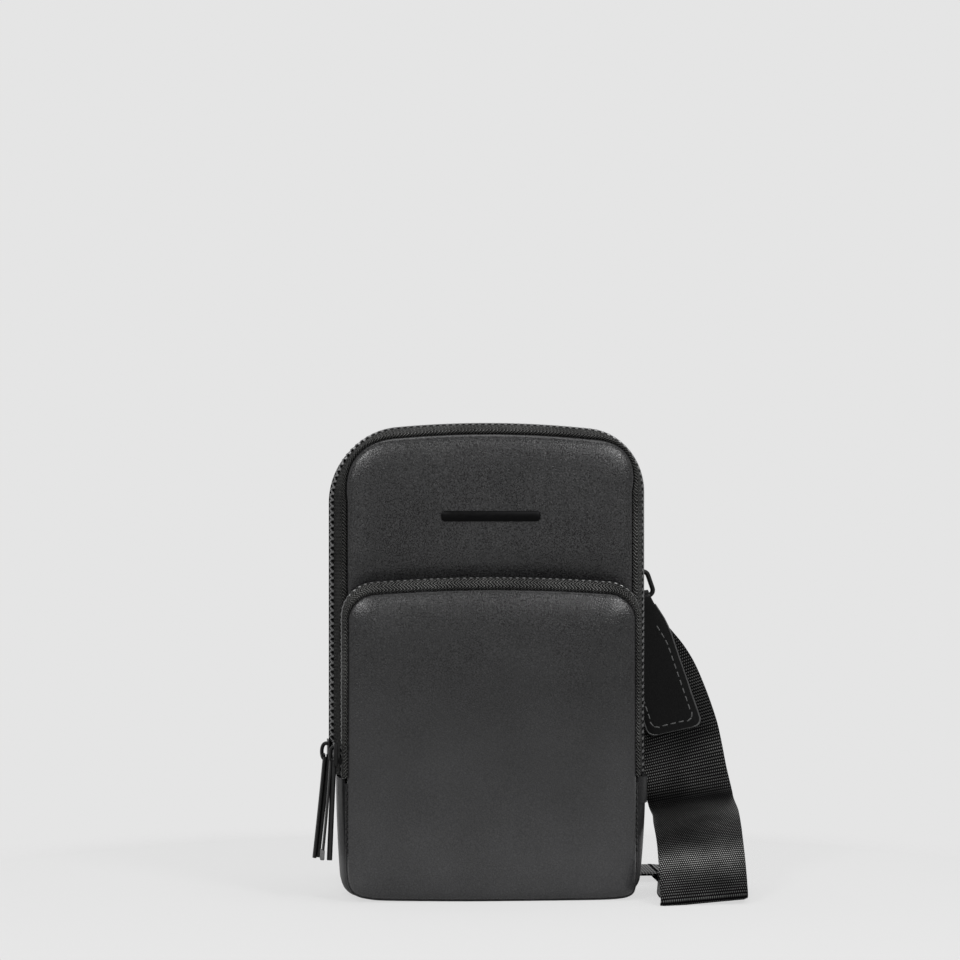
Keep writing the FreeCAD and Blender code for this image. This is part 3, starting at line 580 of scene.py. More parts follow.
def unit(vectors: Array) -> Array:
    """Vectors with length 1."""
    return vectors / np.maximum(np.linalg.norm(vectors, axis=-1, keepdims=True), 1e-9)


def travel(points: Array) -> Array:
    """Unit directions along a row of points."""
    return unit(np.gradient(points, axis=0))


def lengths(points: Array) -> Array:
    """Distance along a row of points from its first one."""
    return np.concatenate([[0.0], np.cumsum(np.linalg.norm(np.diff(points, axis=0), axis=1))])


def resample(line: Array, along: Array, at: Array) -> Array:
    """Points of a line at some distances along it."""
    return np.stack([np.interp(at, along, line[:, k]) for k in range(3)], axis=1)


def ribbon(
    centres: Array, widths: Array, thick: float, across: int, normals: Optional[Array] = None
) -> Shape:
    """Flat strip with rounded edges through stations.

    Args:
        centres: middle of the strip at each station.
        widths: vector across the strip, as long as the strip is wide, or one for each station.
        thick: thickness.
        across: faces across one side.
        normals: unit vectors square to the strip, if they don't follow from the rest.

    Returns:
        The strip, with UV corners that count from its middle.
    """
    widths = np.broadcast_to(widths, centres.shape)
    if normals is None:
        normals = unit(np.cross(widths, travel(centres)))
    even = np.linspace(-1, 1, across + 1)
    spread = 0.35 * np.sin(even * math.pi / 2) + 0.65 * even
    bulge = np.where(np.abs(even) > 0.999, 0.45, 1.0)
    order = [(spread[j], bulge[j]) for j in range(across + 1)]
    order += [(spread[j], -bulge[j]) for j in range(across, -1, -1)]
    rows = np.stack([
        centres + widths * (side / 2) + normals * (lift * thick / 2) for side, lift in order
    ], axis=1)
    along = lengths(centres)
    made = loft(rows, along)
    wide = np.linalg.norm(widths, axis=1)
    size = len(order)
    place = [
        (along[k // size], wide[k // size] * order[k % size][0] / 2) for k in range(len(made.vertices))
    ]
    made.corners = [[place[k] for k in face] for face in made.faces]
    return made


def tube(points: Array, radius: float, closed: bool, sides: int = 12) -> Shape:
    """Round bar along a row of points.

    Args:
        points: the bar's middle line.
        radius: its radius.
        closed: whether the last point joins the first.
        sides: faces round the bar.

    Returns:
        The bar.
    """
    ring = np.concatenate([points[-1:], points, points[:1]]) if closed else points
    ways = travel(ring)[1:-1] if closed else travel(ring)
    normal = np.cross(ways[0], (0.0, 1.0, 0.0))
    if np.linalg.norm(normal) < 1e-3:
        normal = np.cross(ways[0], (1.0, 0.0, 0.0))
    rows = []
    for point, way in zip(points, ways):
        normal = unit(normal - way * np.dot(normal, way))
        other = np.cross(way, normal)
        angles = np.arange(sides) * 2 * math.pi / sides
        rows.append(point + radius * (np.outer(np.cos(angles), normal) + np.outer(np.sin(angles), other)))
    rows = np.array(rows)
    if closed:
        rows = np.concatenate([rows, rows[:1]])
    made = loft(rows, ends=not closed)
    if closed:
        last = (len(rows) - 1) * sides
        made.faces = [tuple(k - last if k >= last else k for k in face) for face in made.faces]
        made.vertices = made.vertices[:last]
    return made


def rounded_box(size: Sequence[float], bevel: float, steps: int = 3) -> Shape:
    """Box about the origin with rounded edges.

    Args:
        size: its three sizes.
        bevel: radius of the edges.
        steps: faces across an edge.

    Returns:
        The box.
    """
    made = bmesh.new()
    bmesh.ops.create_cube(made, size=1.0)
    bmesh.ops.scale(made, vec=Vector(size), verts=made.verts)
    bmesh.ops.bevel(
        made, geom=list(made.edges), offset=bevel, segments=steps, profile=0.5, affect="EDGES", clamp_overlap=True
    )
    made.verts.ensure_lookup_table()
    shape = Shape(
        [tuple(vertex.co) for vertex in made.verts], [tuple(v.index for v in face.verts) for face in made.faces]
    )
    made.free()
    return shape


def rounded_loop(width: float, height: float, radius: float, steps: int = 6) -> Array:
    """Closed row of points on a rounded rectangle about the origin, as across and up.

    Args:
        width: its width.
        height: its height.
        radius: radius of its corners.
        steps: points in a corner.

    Returns:
        The points.
    """
    points = []
    for quarter in range(4):
        x = (width / 2 - radius) * (1 if quarter in (0, 3) else -1)
        z = (height / 2 - radius) * (1 if quarter < 2 else -1)
        for k in range(steps + 1):
            angle = math.pi / 2 * (quarter + k / steps)
            points.append((x + radius * math.cos(angle), z + radius * math.sin(angle)))
    dense = []
    for k, point in enumerate(points):
        after = points[(k + 1) % len(points)]
        parts = max(1, int(math.dist(point, after) / 3.0))
        dense += [(np.array(point) + (np.array(after) - np.array(point)) * j / parts) for j in range(parts)]
    return np.array(dense)


def ripples(x: Array, z: Array, *layers: Point) -> Array:
    """Sum of smooth noises, given by the share, the seed and the size of the bumps in mm of each.

    Args:
        x: across.
        z: up.
        *layers: share, seed and size of each noise.

    Returns:
        The sum at each point.
    """
    return sum(
        share * np.array([noise.noise(Vector((a / size, seed / size, b / size))) for a, b in zip(x, z)])
        for share, seed, size in layers
    )


def corner_cut(gap: float, radius: float) -> float:
    """How much a rounded corner takes off one side of a strip, at a distance from its end."""
    return radius - math.sqrt(max(0.0, radius**2 - (radius - min(gap, radius)) ** 2))


def spots_mm(mesh: bpy.types.Mesh) -> Array:
    """Vertices of a mesh in millimetres.

    Args:
        mesh: the mesh.

    Returns:
        One row of three numbers for each vertex.
    """
    spots = np.empty(len(mesh.vertices) * 3)
    mesh.vertices.foreach_get("co", spots)
    return spots.reshape(-1, 3) / MM


def paint_light(thing: Thing, painted_light: Array) -> None:
    """Store at each vertex how much painted light brightens, or painted shade darkens, the cloth's colour there."""
    thing.data.attributes.new("painted_light", "FLOAT", "POINT").data.foreach_set("value", painted_light)


# ---- rows of repeated pieces


class RowMaker:
    """Geometry Nodes tree that sets one small piece at every point of a path."""

    INPUTS = (
        ("Path", "NodeSocketGeometry"), ("Piece", "NodeSocketObject"), ("Across", "NodeSocketVector"),
        ("Finish", "NodeSocketMaterial"),
    )

    def __init__(self) -> None:
        """Build the tree once."""
        self.tree = bpy.data.node_groups.new("row along a path", "GeometryNodeTree")
        for name, kind in self.INPUTS:
            self.tree.interface.new_socket(name, in_out="INPUT", socket_type=kind)
        self.tree.interface.new_socket("Row", in_out="OUTPUT", socket_type="NodeSocketGeometry")
        nodes = self.tree.nodes
        given, result = nodes.new("NodeGroupInput"), nodes.new("NodeGroupOutput")
        points, source, stamp, real, dress = (nodes.new("GeometryNode" + kind) for kind in (
            "CurveToPoints", "ObjectInfo", "InstanceOnPoints", "RealizeInstances", "SetMaterial"))
        points.mode = "EVALUATED"
        turn = nodes.new("FunctionNodeAxesToRotation")
        turn.primary_axis, turn.secondary_axis = "X", "Y"
        for start, end in (
            (given.outputs["Path"], points.inputs["Curve"]),
            (points.outputs["Points"], stamp.inputs["Points"]),
            (points.outputs["Tangent"], turn.inputs[0]),
            (given.outputs["Across"], turn.inputs[1]),
            (turn.outputs[0], stamp.inputs["Rotation"]),
            (given.outputs["Piece"], source.inputs["Object"]),
            (source.outputs["Geometry"], stamp.inputs["Instance"]),
            (stamp.outputs["Instances"], real.inputs["Geometry"]),
            (real.outputs["Geometry"], dress.inputs["Geometry"]),
            (given.outputs["Finish"], dress.inputs["Material"]),
            (dress.outputs["Geometry"], result.inputs["Row"]),
        ):
            self.tree.links.new(start, end)

    def lay(
        self, name: str, paths: Sequence[Array], shape: Shape, across: Sequence[float], finish: Finish,
        shift: Optional[Mapping] = None,
    ) -> Thing:
        """Plain mesh of pieces at the points of some paths.

        Args:
            name: name of the row.
            paths: rows of points in mm, one piece at each.
            shape: the small piece: x along the path, y across.
            across: direction that the piece's y follows.
            finish: finish of the row.
            shift: mapping of the finished row's points in mm, if any.

        Returns:
            The row's object.
        """
        piece = shape.piece(name + "_one", finish, 35.0)
        line = bpy.data.curves.new(name + "_path", "CURVE")
        line.dimensions = "3D"
        for path in paths:
            spline = line.splines.new("POLY")
            spline.points.add(len(path) - 1)
            for point, place in zip(spline.points, path):
                point.co = (place[0] * MM, place[1] * MM, place[2] * MM, 1.0)
        guide = link(name + "_path", line)
        modifier = guide.modifiers.new("row", "NODES")
        modifier.node_group = self.tree
        values = {"Piece": piece, "Across": tuple(across), "Finish": material_of(finish)}
        for item in self.tree.interface.items_tree:
            if item.in_out == "INPUT" and item.name in values:
                modifier[item.identifier] = values[item.name]
        depsgraph = bpy.context.evaluated_depsgraph_get()
        mesh = bpy.data.meshes.new_from_object(guide.evaluated_get(depsgraph), depsgraph=depsgraph)
        mesh.name = name
        if shift is not None:
            mesh.vertices.foreach_set("co", (shift(spots_mm(mesh)) * MM).ravel())
            mesh.update()
        made = link(name, mesh)
        guide.modifiers.remove(modifier)
        bpy.data.objects.remove(guide)
        bpy.data.objects.remove(piece)
        return made


ROWS = RowMaker()


def stitch(length: float, thick: float) -> Shape:
    """One stitch: a plump thread with its ends drawn in, x along it and y out of the surface.

    Args:
        length: its length.
        thick: its thickness.

    Returns:
        The stitch.
    """
    rows = []
    for share in (-1.0, -0.82, -0.4, 0.0, 0.4, 0.82, 1.0):
        lift = thick * (0.35 * (1 - share * share) - 0.12)
        size = thick / 2 * (0.45 if abs(share) > 0.99 else 1.0)
        angles = np.arange(6) * math.pi / 3
        rows.append(np.stack([
            np.full(6, share * length / 2), lift + size * np.cos(angles), size * np.sin(angles)
        ], axis=1))
    return loft(np.array(rows))


def dashes(corners: Sequence[Sequence[float]], pitch: float) -> Array:
    """Evenly spaced points on a line with corners.

    Args:
        corners: the line's corners in mm.
        pitch: wanted distance between points.

    Returns:
        The points.
    """
    line = np.asarray(corners, dtype=float)
    along = lengths(line)
    count = max(2, int(round(along[-1] / pitch)))
    return resample(line, along, (np.arange(count) + 0.5) * along[-1] / count)


# ---- outlines of the pouch


@dataclass(frozen=True)
class Run:
    """Row of points on an outline with outward normals and distances along it."""

    points: Array
    normals: Array
    along: Array

    def cut(self, keep: Array) -> "Run":
        """The points of the run that a mask keeps."""
        return Run(self.points[keep], self.normals[keep], self.along[keep])

    def space(self, inset: object, depth: float) -> Array:
        """Points in space, moved inwards by inset, at one depth."""
        flat = self.points - self.normals * np.reshape(inset, (-1, 1))
        return np.stack([flat[:, 0], np.full(len(flat), depth), flat[:, 1]], axis=1)

    def sweep(self, profile: Sequence[Tuple[object, float]]) -> Shape:
        """Skin of a closed profile of insets and depths that follows the run."""
        return loft(np.stack([self.space(inset, y) for inset, y in profile], axis=1), self.along)


@dataclass(frozen=True)
class Outline:
    """Front outline of a compartment: arched top, round corners, straight legs, drawn-in foot."""

    width: float
    height: float
    arch: float
    corner: float
    right_corner: float
    fold: float = 48.0
    side: float = 320.0
    foot: float = 9.0

    @property
    def half(self) -> float:
        """Half of the width."""
        return self.width / 2

    def _arc(self, x: float, z: float, radius: float, start: float, end: float, step: float) -> Array:
        """Points and normals on an arc.

        Args:
            x: centre.
            z: centre.
            radius: radius.
            start: first angle in radians.
            end: last angle.
            step: distance between points.

        Returns:
            Rows of two coordinates and two parts of the normal.
        """
        count = max(2, int(math.ceil(abs(end - start) * radius / step)))
        angles = np.linspace(start, end, count + 1)
        out = np.stack([np.cos(angles), np.sin(angles)], axis=1)
        return np.concatenate([np.array([x, z]) + radius * out, out], axis=1)

    def _line(self, start: Sequence[float], end: Sequence[float], out: Sequence[float], step: float) -> Array:
        """Points and normals on a straight line.

        Args:
            start: first point.
            end: last point.
            out: outward normal.
            step: distance between points.

        Returns:
            Rows of two coordinates and two parts of the normal.
        """
        count = max(1, int(math.ceil(math.dist(start, end) / step)))
        share = np.linspace(0, 1, count + 1)[:, None]
        points = np.asarray(start) + (np.asarray(end) - np.asarray(start)) * share
        return np.concatenate([points, np.repeat([out], count + 1, axis=0)], axis=1)

    def _join(self, parts: Sequence[Array]) -> Run:
        """One run of several parts, without double points."""
        data = np.concatenate([parts[0]] + [part[1:] for part in parts[1:]])
        return Run(data[:, :2], data[:, 2:], lengths(data[:, :2]))

    def upper(self, low: float, step: float) -> Run:
        """Run up the left leg, over the top and down the right leg.

        Args:
            low: height at which it starts and ends.
            step: distance between points.

        Returns:
            The run.
        """
        up = math.pi / 2
        arch_z = self.height - self.arch
        ends = []
        for radius in (self.corner, self.right_corner):
            inner, reach = self.half - radius, self.arch - radius
            ends.append((inner, arch_z + math.sqrt(reach**2 - inner**2), math.asin(inner / reach)))
        (left, left_z, left_lean), (right, right_z, right_lean) = ends
        return self._join([
            self._line((-self.half, low), (-self.half, left_z), (-1.0, 0.0), step),
            self._arc(-left, left_z, self.corner, math.pi, up + left_lean, step),
            self._arc(0.0, arch_z, self.arch, up + left_lean, up - right_lean, step),
            self._arc(right, right_z, self.right_corner, up - right_lean, 0.0, step),
            self._line((self.half, right_z), (self.half, low), (1.0, 0.0), step),
        ])

    def lower(self, high: float, step: float) -> Run:
        """Run down the left side, along the base and up the right side.

        Args:
            high: height at which it starts and ends.
            step: distance between points.

        Returns:
            The run.
        """
        side_x = self.half - self.side
        reach = self.side - self.foot
        rise = self.fold - self.foot
        foot_x = side_x + math.sqrt(reach**2 - rise**2)
        end = math.asin(rise / reach)
        begin = math.asin((self.fold - high) / self.side)
        turn = math.pi
        return self._join([
            self._arc(-side_x, self.fold, self.side, turn + begin, turn + end, step),
            self._arc(-foot_x, self.foot, self.foot, turn + end, 1.5 * turn, step),
            self._line((-foot_x, 0.0), (foot_x, 0.0), (0.0, -1.0), step),
            self._arc(foot_x, self.foot, self.foot, -0.5 * turn, -end, step),
            self._arc(side_x, self.fold, self.side, -end, -begin, step),
        ])

    def closed(self, step: float) -> Run:
        """Whole outline once round, without a double end point.

        Args:
            step: distance between points.

        Returns:
            The run.
        """
        low = self.lower(self.fold, step)
        top = self.upper(self.fold, step)
        points = np.concatenate([low.points, top.points[::-1][1:-1]])
        normals = np.concatenate([low.normals, top.normals[::-1][1:-1]])
        return Run(points, normals, lengths(points))


@dataclass(frozen=True)
class Seam:
    """Distance from the outline to the seam of the panel, which changes round the outline."""

    side: float
    top: float
    base: float
    corner: float = 0.0

    def inset(self, normals: Array) -> Array:
        """Distance at each outward normal.

        Args:
            normals: the outline's outward normals.

        Returns:
            The distances.
        """
        rise = normals[:, 1]
        other = np.where(rise > 0, self.top, self.base)
        diagonal = np.where(rise > 0, 4.0 * rise**2 * (1.0 - rise**2), 0.0)
        return self.side + (other - self.side) * np.abs(rise) - self.corner * diagonal


def padded_panel(
    rim: Array, depth: Callable[[Array, Array, Array], Array], back: float,
    rings: Sequence[float], spacing: float, keep: Optional[Pair] = None,
) -> Shape:
    """Closed pad with a crowned face over a closed rim.

    Args:
        rim: the rim's points, as across and up.
        depth: function from across, up and distance to the rim, to the face's depth.
        back: depth of the flat back.
        rings: distances from the rim of rows of points along it.
        spacing: distance between the points inside them.
        keep: lowest and highest z of the rim's share that the pad covers.

    Returns:
        The pad.
    """
    row_share, near = 0.87, 0.05
    around = np.roll(rim, -1, axis=0) - np.roll(rim, 1, axis=0)
    inward = unit(np.stack([-around[:, 1], around[:, 0]], axis=1))
    points = [rim + inward * ring for ring in rings]
    low, high = rim.min(axis=0), rim.max(axis=0)
    grid = np.array([
        (x + (row % 2) * spacing / 2, z)
        for row, z in enumerate(np.arange(low[1], high[1], spacing * row_share))
        for x in np.arange(low[0], high[0], spacing)
    ])
    gap, within = rim_distance(grid, rim)
    points.append(grid[within & (gap > rings[-1] + spacing * 0.6)])
    every = np.concatenate(points)
    if keep is not None:
        level = np.array([(x, z) for z in keep for x in np.arange(low[0] - 2, high[0] + 2, spacing)])
        every = every[(every[:, 1] > keep[0] + near) & (every[:, 1] < keep[1] - near)]
        cut_rim = clip_rim(rim, keep)
        gap, within = rim_distance(level, rim)
        every = np.concatenate([cut_rim, every, level[within & (gap > near)]])
        border = len(cut_rim)
    else:
        border = len(rim)
    edges = [(k, (k + 1) % border) for k in range(border)]
    flat, _, faces, *_ = delaunay_2d_cdt([Vector(point) for point in every], edges, [], 1, 1e-5)
    plane = np.array([tuple(point) for point in flat])
    gap, _ = rim_distance(plane, rim)
    front = np.stack([plane[:, 0], depth(plane[:, 0], plane[:, 1], gap), plane[:, 1]], axis=1)
    rear = np.stack([plane[:, 0], np.full(len(plane), back), plane[:, 1]], axis=1)
    count = len(plane)
    skin = [tuple(face) for face in faces] + [tuple(k + count for k in reversed(face)) for face in faces]
    skin += [(a, b, b + count, a + count) for a, b in boundary_edges(faces)]
    return Shape([tuple(point) for point in np.concatenate([front, rear])], skin)


def boundary_edges(faces: Sequence[Sequence[int]]) -> List[Tuple[int, int]]:
    """Edges that only one of the faces uses."""
    uses = Counter(tuple(sorted(edge)) for face in faces for edge in zip(face, (*face[1:], face[0])))
    return [edge for edge, count in uses.items() if count == 1]


def rim_distance(points: Array, rim: Array) -> Tuple[Array, Array]:
    """Distance from points to a closed rim, and whether they lie inside it.

    Args:
        points: points as across and up.
        rim: the rim's points.

    Returns:
        Distances, and a mask of the points inside.
    """
    batch, tiny = 400, 1e-12
    step = np.roll(rim, -1, axis=0) - rim
    rise = np.where(np.abs(step[:, 1]) < tiny, tiny, step[:, 1])
    gaps = np.empty(len(points))
    within = np.empty(len(points), dtype=bool)
    for k in range(0, len(points), batch):
        some = points[k:k + batch, None, :]
        share = np.clip(((some - rim) * step).sum(-1) / np.maximum((step * step).sum(-1), tiny), 0, 1)
        gaps[k:k + batch] = np.linalg.norm(some - rim - step * share[..., None], axis=-1).min(axis=1)
        above = (rim[:, 1] > some[..., 1]) != (rim[:, 1] + step[:, 1] > some[..., 1])
        cross = rim[:, 0] + (some[..., 1] - rim[:, 1]) / rise * step[:, 0]
        within[k:k + batch] = (above & (some[..., 0] < cross)).sum(axis=1) % 2 == 1
    return gaps, within


def clip_rim(rim: Array, keep: Pair) -> Array:
    """Closed rim between two heights.

    Args:
        rim: the whole rim's points.
        keep: lowest and highest height.

    Returns:
        The clipped rim's points.
    """
    result = rim
    for level, sign in ((keep[0], 1.0), (keep[1], -1.0)):
        kept = []
        for k, point in enumerate(result):
            after = result[(k + 1) % len(result)]
            here, there = sign * (point[1] - level), sign * (after[1] - level)
            if here >= 0:
                kept.append(point)
            if (here > 1e-9 and there < -1e-9) or (here < -1e-9 and there > 1e-9):
                kept.append(point + (after - point) * here / (here - there))
        result = np.array(kept)
    return result


# ---- the pouch


class Bend(Enum):
    """Two bodies that a soft piece spans, and the points in metres between which it passes to the second; nothing makes
    the piece follow them.
    """

    FLAP = ("rear_shell", "front_flap", (0.0, FOLD_Y * MM, 46.0 * MM), (0.0, FOLD_Y * MM, 58.0 * MM))
    POCKET = ("front_flap", "pocket_flap", (0.0, FOLD_Y * MM, POCKET_SPLIT * MM), (0.0, FOLD_Y * MM, 72.0 * MM))
    STRAP_RIGHT = ("strap_end_right", "rear_shell", (0.08, 0.028, 0.060), (0.08, 0.028, 0.004))
    STRAP_LEFT = ("rear_shell", "strap_end_left", (-0.0164, 0.028, 0.0535), (-0.0230, 0.028, 0.0727))


def settle(thing: Thing, body: object, nodes: Sequence[str] = ()) -> Thing:
    """Tie a piece to its body, or only bake its place when it is given a bend, and hide the CAD nodes that it stands
    for.

    Args:
        thing: the piece.
        body: name of a body, or a Bend.
        nodes: CAD nodes that the piece replaces.

    Returns:
        The piece.
    """
    if isinstance(body, Bend):
        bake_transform(thing)
    else:
        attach(thing, body)
    if nodes:
        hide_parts(*nodes)
    LOG.info("%s on %s", thing.name, body.name if isinstance(body, Bend) else body)
    return thing


def sew(
    name: str, paths: Sequence[Array], size: Pair, ahead: float, finish: Finish, body: str
) -> None:
    """Lay a row of stitches on a face that looks forwards (-1) or backwards (1), and tie it to its body."""
    settle(ROWS.lay(name, paths, stitch(*size), (0.0, ahead, 0.0), finish), body)


@dataclass
class Zip:
    """One zip: two tapes and two rows of teeth round the upper outline of a compartment."""

    name: str
    outline: Outline
    seam: Seam
    chain_y: float
    front_y: float
    rear_y: float
    rear_seam: Seam
    low: float = 48.3
    pitch: float = 2.57
    tape_in: float = 0.45
    tape_top: float = 0.45
    tape_gap: float = 2.3
    tape_thick: float = 0.8
    chain_half: float = 2.2
    lean_left: float = 13.0
    lean_right: float = 8.0
    lip: float = 0.75
    under: float = 0.6
    sink: float = 0.0
    sink_side: float = 0.0
    split: Optional[float] = None

    def lean(self, normals: Array) -> Array:
        """How far the chain leans inwards towards the front, as a slope, at each outward normal."""
        angle = np.where(normals[:, 0] < 0, self.lean_left, self.lean_right)
        return np.tan(np.radians(angle)) * normals[:, 0] ** 2

    def chain_inset(self, normals: Array, y: float) -> Array:
        """Distance of the chain's plane from the outline at one depth."""
        base = self.tape_top + (self.tape_in - self.tape_top) * normals[:, 0] ** 2
        return base + self.lean(normals) * max(0.0, self.chain_y + self.chain_half - y)

    def tape(self, run: Run, front: bool) -> Shape:
        """Tape that curves from the teeth to the panel's seam and tucks in under the panel.

        Args:
            run: share of the outline that it follows.
            front: whether it is the front tape.

        Returns:
            The tape.
        """
        ahead = -1.0 if front else 1.0
        start_y = self.chain_y + ahead * self.tape_gap
        end_y = self.front_y if front else self.rear_y
        seam = (self.seam if front else self.rear_seam).inset(run.normals)
        outer: Profile = []
        inner: Profile = []
        begin = self.chain_inset(run.normals, start_y) - (0.0 if front else self.lip) * run.normals[:, 0] ** 2
        for off in (0.45, 1.35):
            y = self.chain_y + ahead * off
            below = self.chain_inset(run.normals, y) + self.under
            outer.append((below, y))
            inner.append((below + self.tape_thick, y))
        finish = seam - 0.9
        slope = self.lean(run.normals) if front else np.zeros(len(seam))
        reach = abs(end_y - start_y)
        for t in np.linspace(0.0, 1.0, 11):
            weights = ((1 - t) ** 3, 3 * t * (1 - t) ** 2, 3 * t * t * (1 - t), t**3)
            stops = (begin, begin + slope * reach * 0.5, finish - (finish - begin) * 0.45, finish)
            inset = sum(weight * stop for weight, stop in zip(weights, stops))
            depths = (start_y, start_y + ahead * reach * 0.5, end_y, end_y)
            y = sum(weight * stop for weight, stop in zip(weights, depths))
            outer.append((inset, y))
            turn = t * math.pi / 2
            inner.append((inset + self.tape_thick * math.cos(turn), y - ahead * self.tape_thick * math.sin(turn)))
        for more, drop in ((-0.25, 0.35), (0.1, 1.1), (TUCK, TUCK_DROP)):
            outer.append((seam + more, end_y - ahead * drop))
        inner.append((seam + TUCK, end_y - ahead * (TUCK_DROP + self.tape_thick)))
        return run.sweep(outer + inner[::-1])

    def add_tape(
        self, shape: Shape, name: str, body: object, nodes: Sequence[str] = (), painted_shade: float = 0.45
    ) -> None:
        """Make the piece of a tape and tie it to its body.

        Args:
            shape: the tape.
            name: name of the piece.
            body: name of a body, or a Bend.
            nodes: CAD nodes that it replaces.
            painted_shade: how much painted shade darkens its left leg, which faces away from the lamps.
        """
        piece = shape.piece(name, Finish.TAPE)
        # Painted shade on the tape's left leg, where less light falls
        if painted_shade:
            half = self.outline.half
            paint_light(piece, -painted_shade * smooth_share(-spots_mm(piece.data)[:, 0], half - 16.0, half - 6.0))
        settle(piece, body, nodes)

    def tooth(self, front: bool) -> Shape:
        """One tooth, x along the chain, y to the rear and z outwards.

        Args:
            front: whether it belongs to the front half of the chain.

        Returns:
            The tooth.
        """
        sign = 1.0 if front else -1.0
        profile = [
            (-0.40, -2.15), (0.40, -2.15), (0.50, -0.4), (0.52, 0.3), (0.28, 0.72), (-0.28, 0.72), (-0.52, 0.3),
            (-0.50, -0.4),
        ]
        rows = []
        for z, share in ((-0.6, 0.72), (-0.4, 1.0), (0.3, 1.0), (0.58, 0.84), (0.72, 0.5)):
            rows.append([
                (x * share + 0.36 * y, sign * (y * (0.5 + share / 2) - 0.35 * (1 - share)), z) for x, y in profile
            ])
        return loft(np.array(rows))

    def teeth(self, name: str, front: bool, span: Pair) -> Thing:
        """Row of teeth between two heights.

        Args:
            name: name of the row.
            front: whether it is the front half of the chain.
            span: lowest and highest z of its teeth.

        Returns:
            The row.
        """
        fine = self.outline.upper(self.low, 0.25)
        count = int(fine.along[-1] / self.pitch)
        pitch = fine.along[-1] / count
        at = (np.arange(count) + (0.25 if front else 0.75)) * pitch
        sunk = self.sink + self.sink_side * fine.normals[:, 0] ** 2
        middle = fine.space(self.chain_inset(fine.normals, self.chain_y) + sunk, self.chain_y)
        spots = resample(middle, fine.along, at)
        marks = np.flatnonzero((spots[:, 2] >= span[0]) & (spots[:, 2] < span[1]))
        groups = np.split(marks, np.flatnonzero(np.diff(marks) > 1) + 1)
        coarse = self.outline.upper(self.low, 1.0)
        slopes = self.lean(coarse.normals)

        def shift(points: Array) -> Array:
            """Points moved inwards with the chain's lean.

            Args:
                points: points of the teeth.

            Returns:
                The moved points.
            """
            away = np.linalg.norm(points[:, None, ::2] - coarse.points[None], axis=-1)
            near = away.argmin(axis=1)
            inward = -coarse.normals[near] * (slopes[near] * (self.chain_y - points[:, 1]))[:, None]
            return points + np.stack([inward[:, 0], np.zeros(len(points)), inward[:, 1]], axis=1)

        paths = [spots[group] for group in groups]
        return ROWS.lay(name, paths, self.tooth(front), (0.0, 1.0, 0.0), Finish.TEETH, shift)

    def legs(self, high: float) -> List[Run]:
        """The left and the right straight leg below a height.

        Args:
            high: the height.

        Returns:
            The two runs, upwards.
        """
        count = 5
        z = self.low + (high - self.low) * np.linspace(0, 1, count)
        half = np.full(count, self.outline.half)
        return [
            Run(np.stack([side * half, z], 1), np.tile([side, 0.0], (count, 1)), z - self.low) for side in (-1.0, 1.0)
        ]

    def build(self) -> None:
        """Make the tapes and the teeth and tie them to their bodies."""
        step, every = 1.5, (-1.0, TALL)
        whole = self.outline.upper(self.low, step)
        tape, chain = f"{self.name}_zip_tape", f"{self.name}_zip_chain"
        body = "rear_shell" if self.split is None else Bend.FLAP
        self.add_tape(self.tape(whole, False), f"{tape}_rear_cloth", body, [f"{tape}_rear"])
        settle(self.teeth(f"{chain}_rear_teeth", False, every), body, [f"{chain}_rear"])
        if self.split is None:
            self.add_tape(self.tape(whole, True), f"{tape}_front_cloth", Bend.FLAP, [f"{tape}_front"])
            settle(self.teeth(f"{chain}_front_teeth", True, every), Bend.FLAP, [f"{chain}_front"])
            return
        top = self.outline.upper(self.split, step)
        left, right = (self.tape(leg, True) for leg in self.legs(self.split))
        self.add_tape(left.add(right), f"{tape}_front_low", Bend.FLAP, painted_shade=0.0)
        self.add_tape(
            self.tape(top, True), f"{tape}_front_cloth", Bend.POCKET, [f"{tape}_front"], 0.0
        )
        settle(self.teeth(f"{chain}_front_low", True, (0.0, self.split)), Bend.FLAP)
        settle(
            self.teeth(f"{chain}_front_teeth", True, (self.split, TALL)), Bend.POCKET, [f"{chain}_front"]
        )


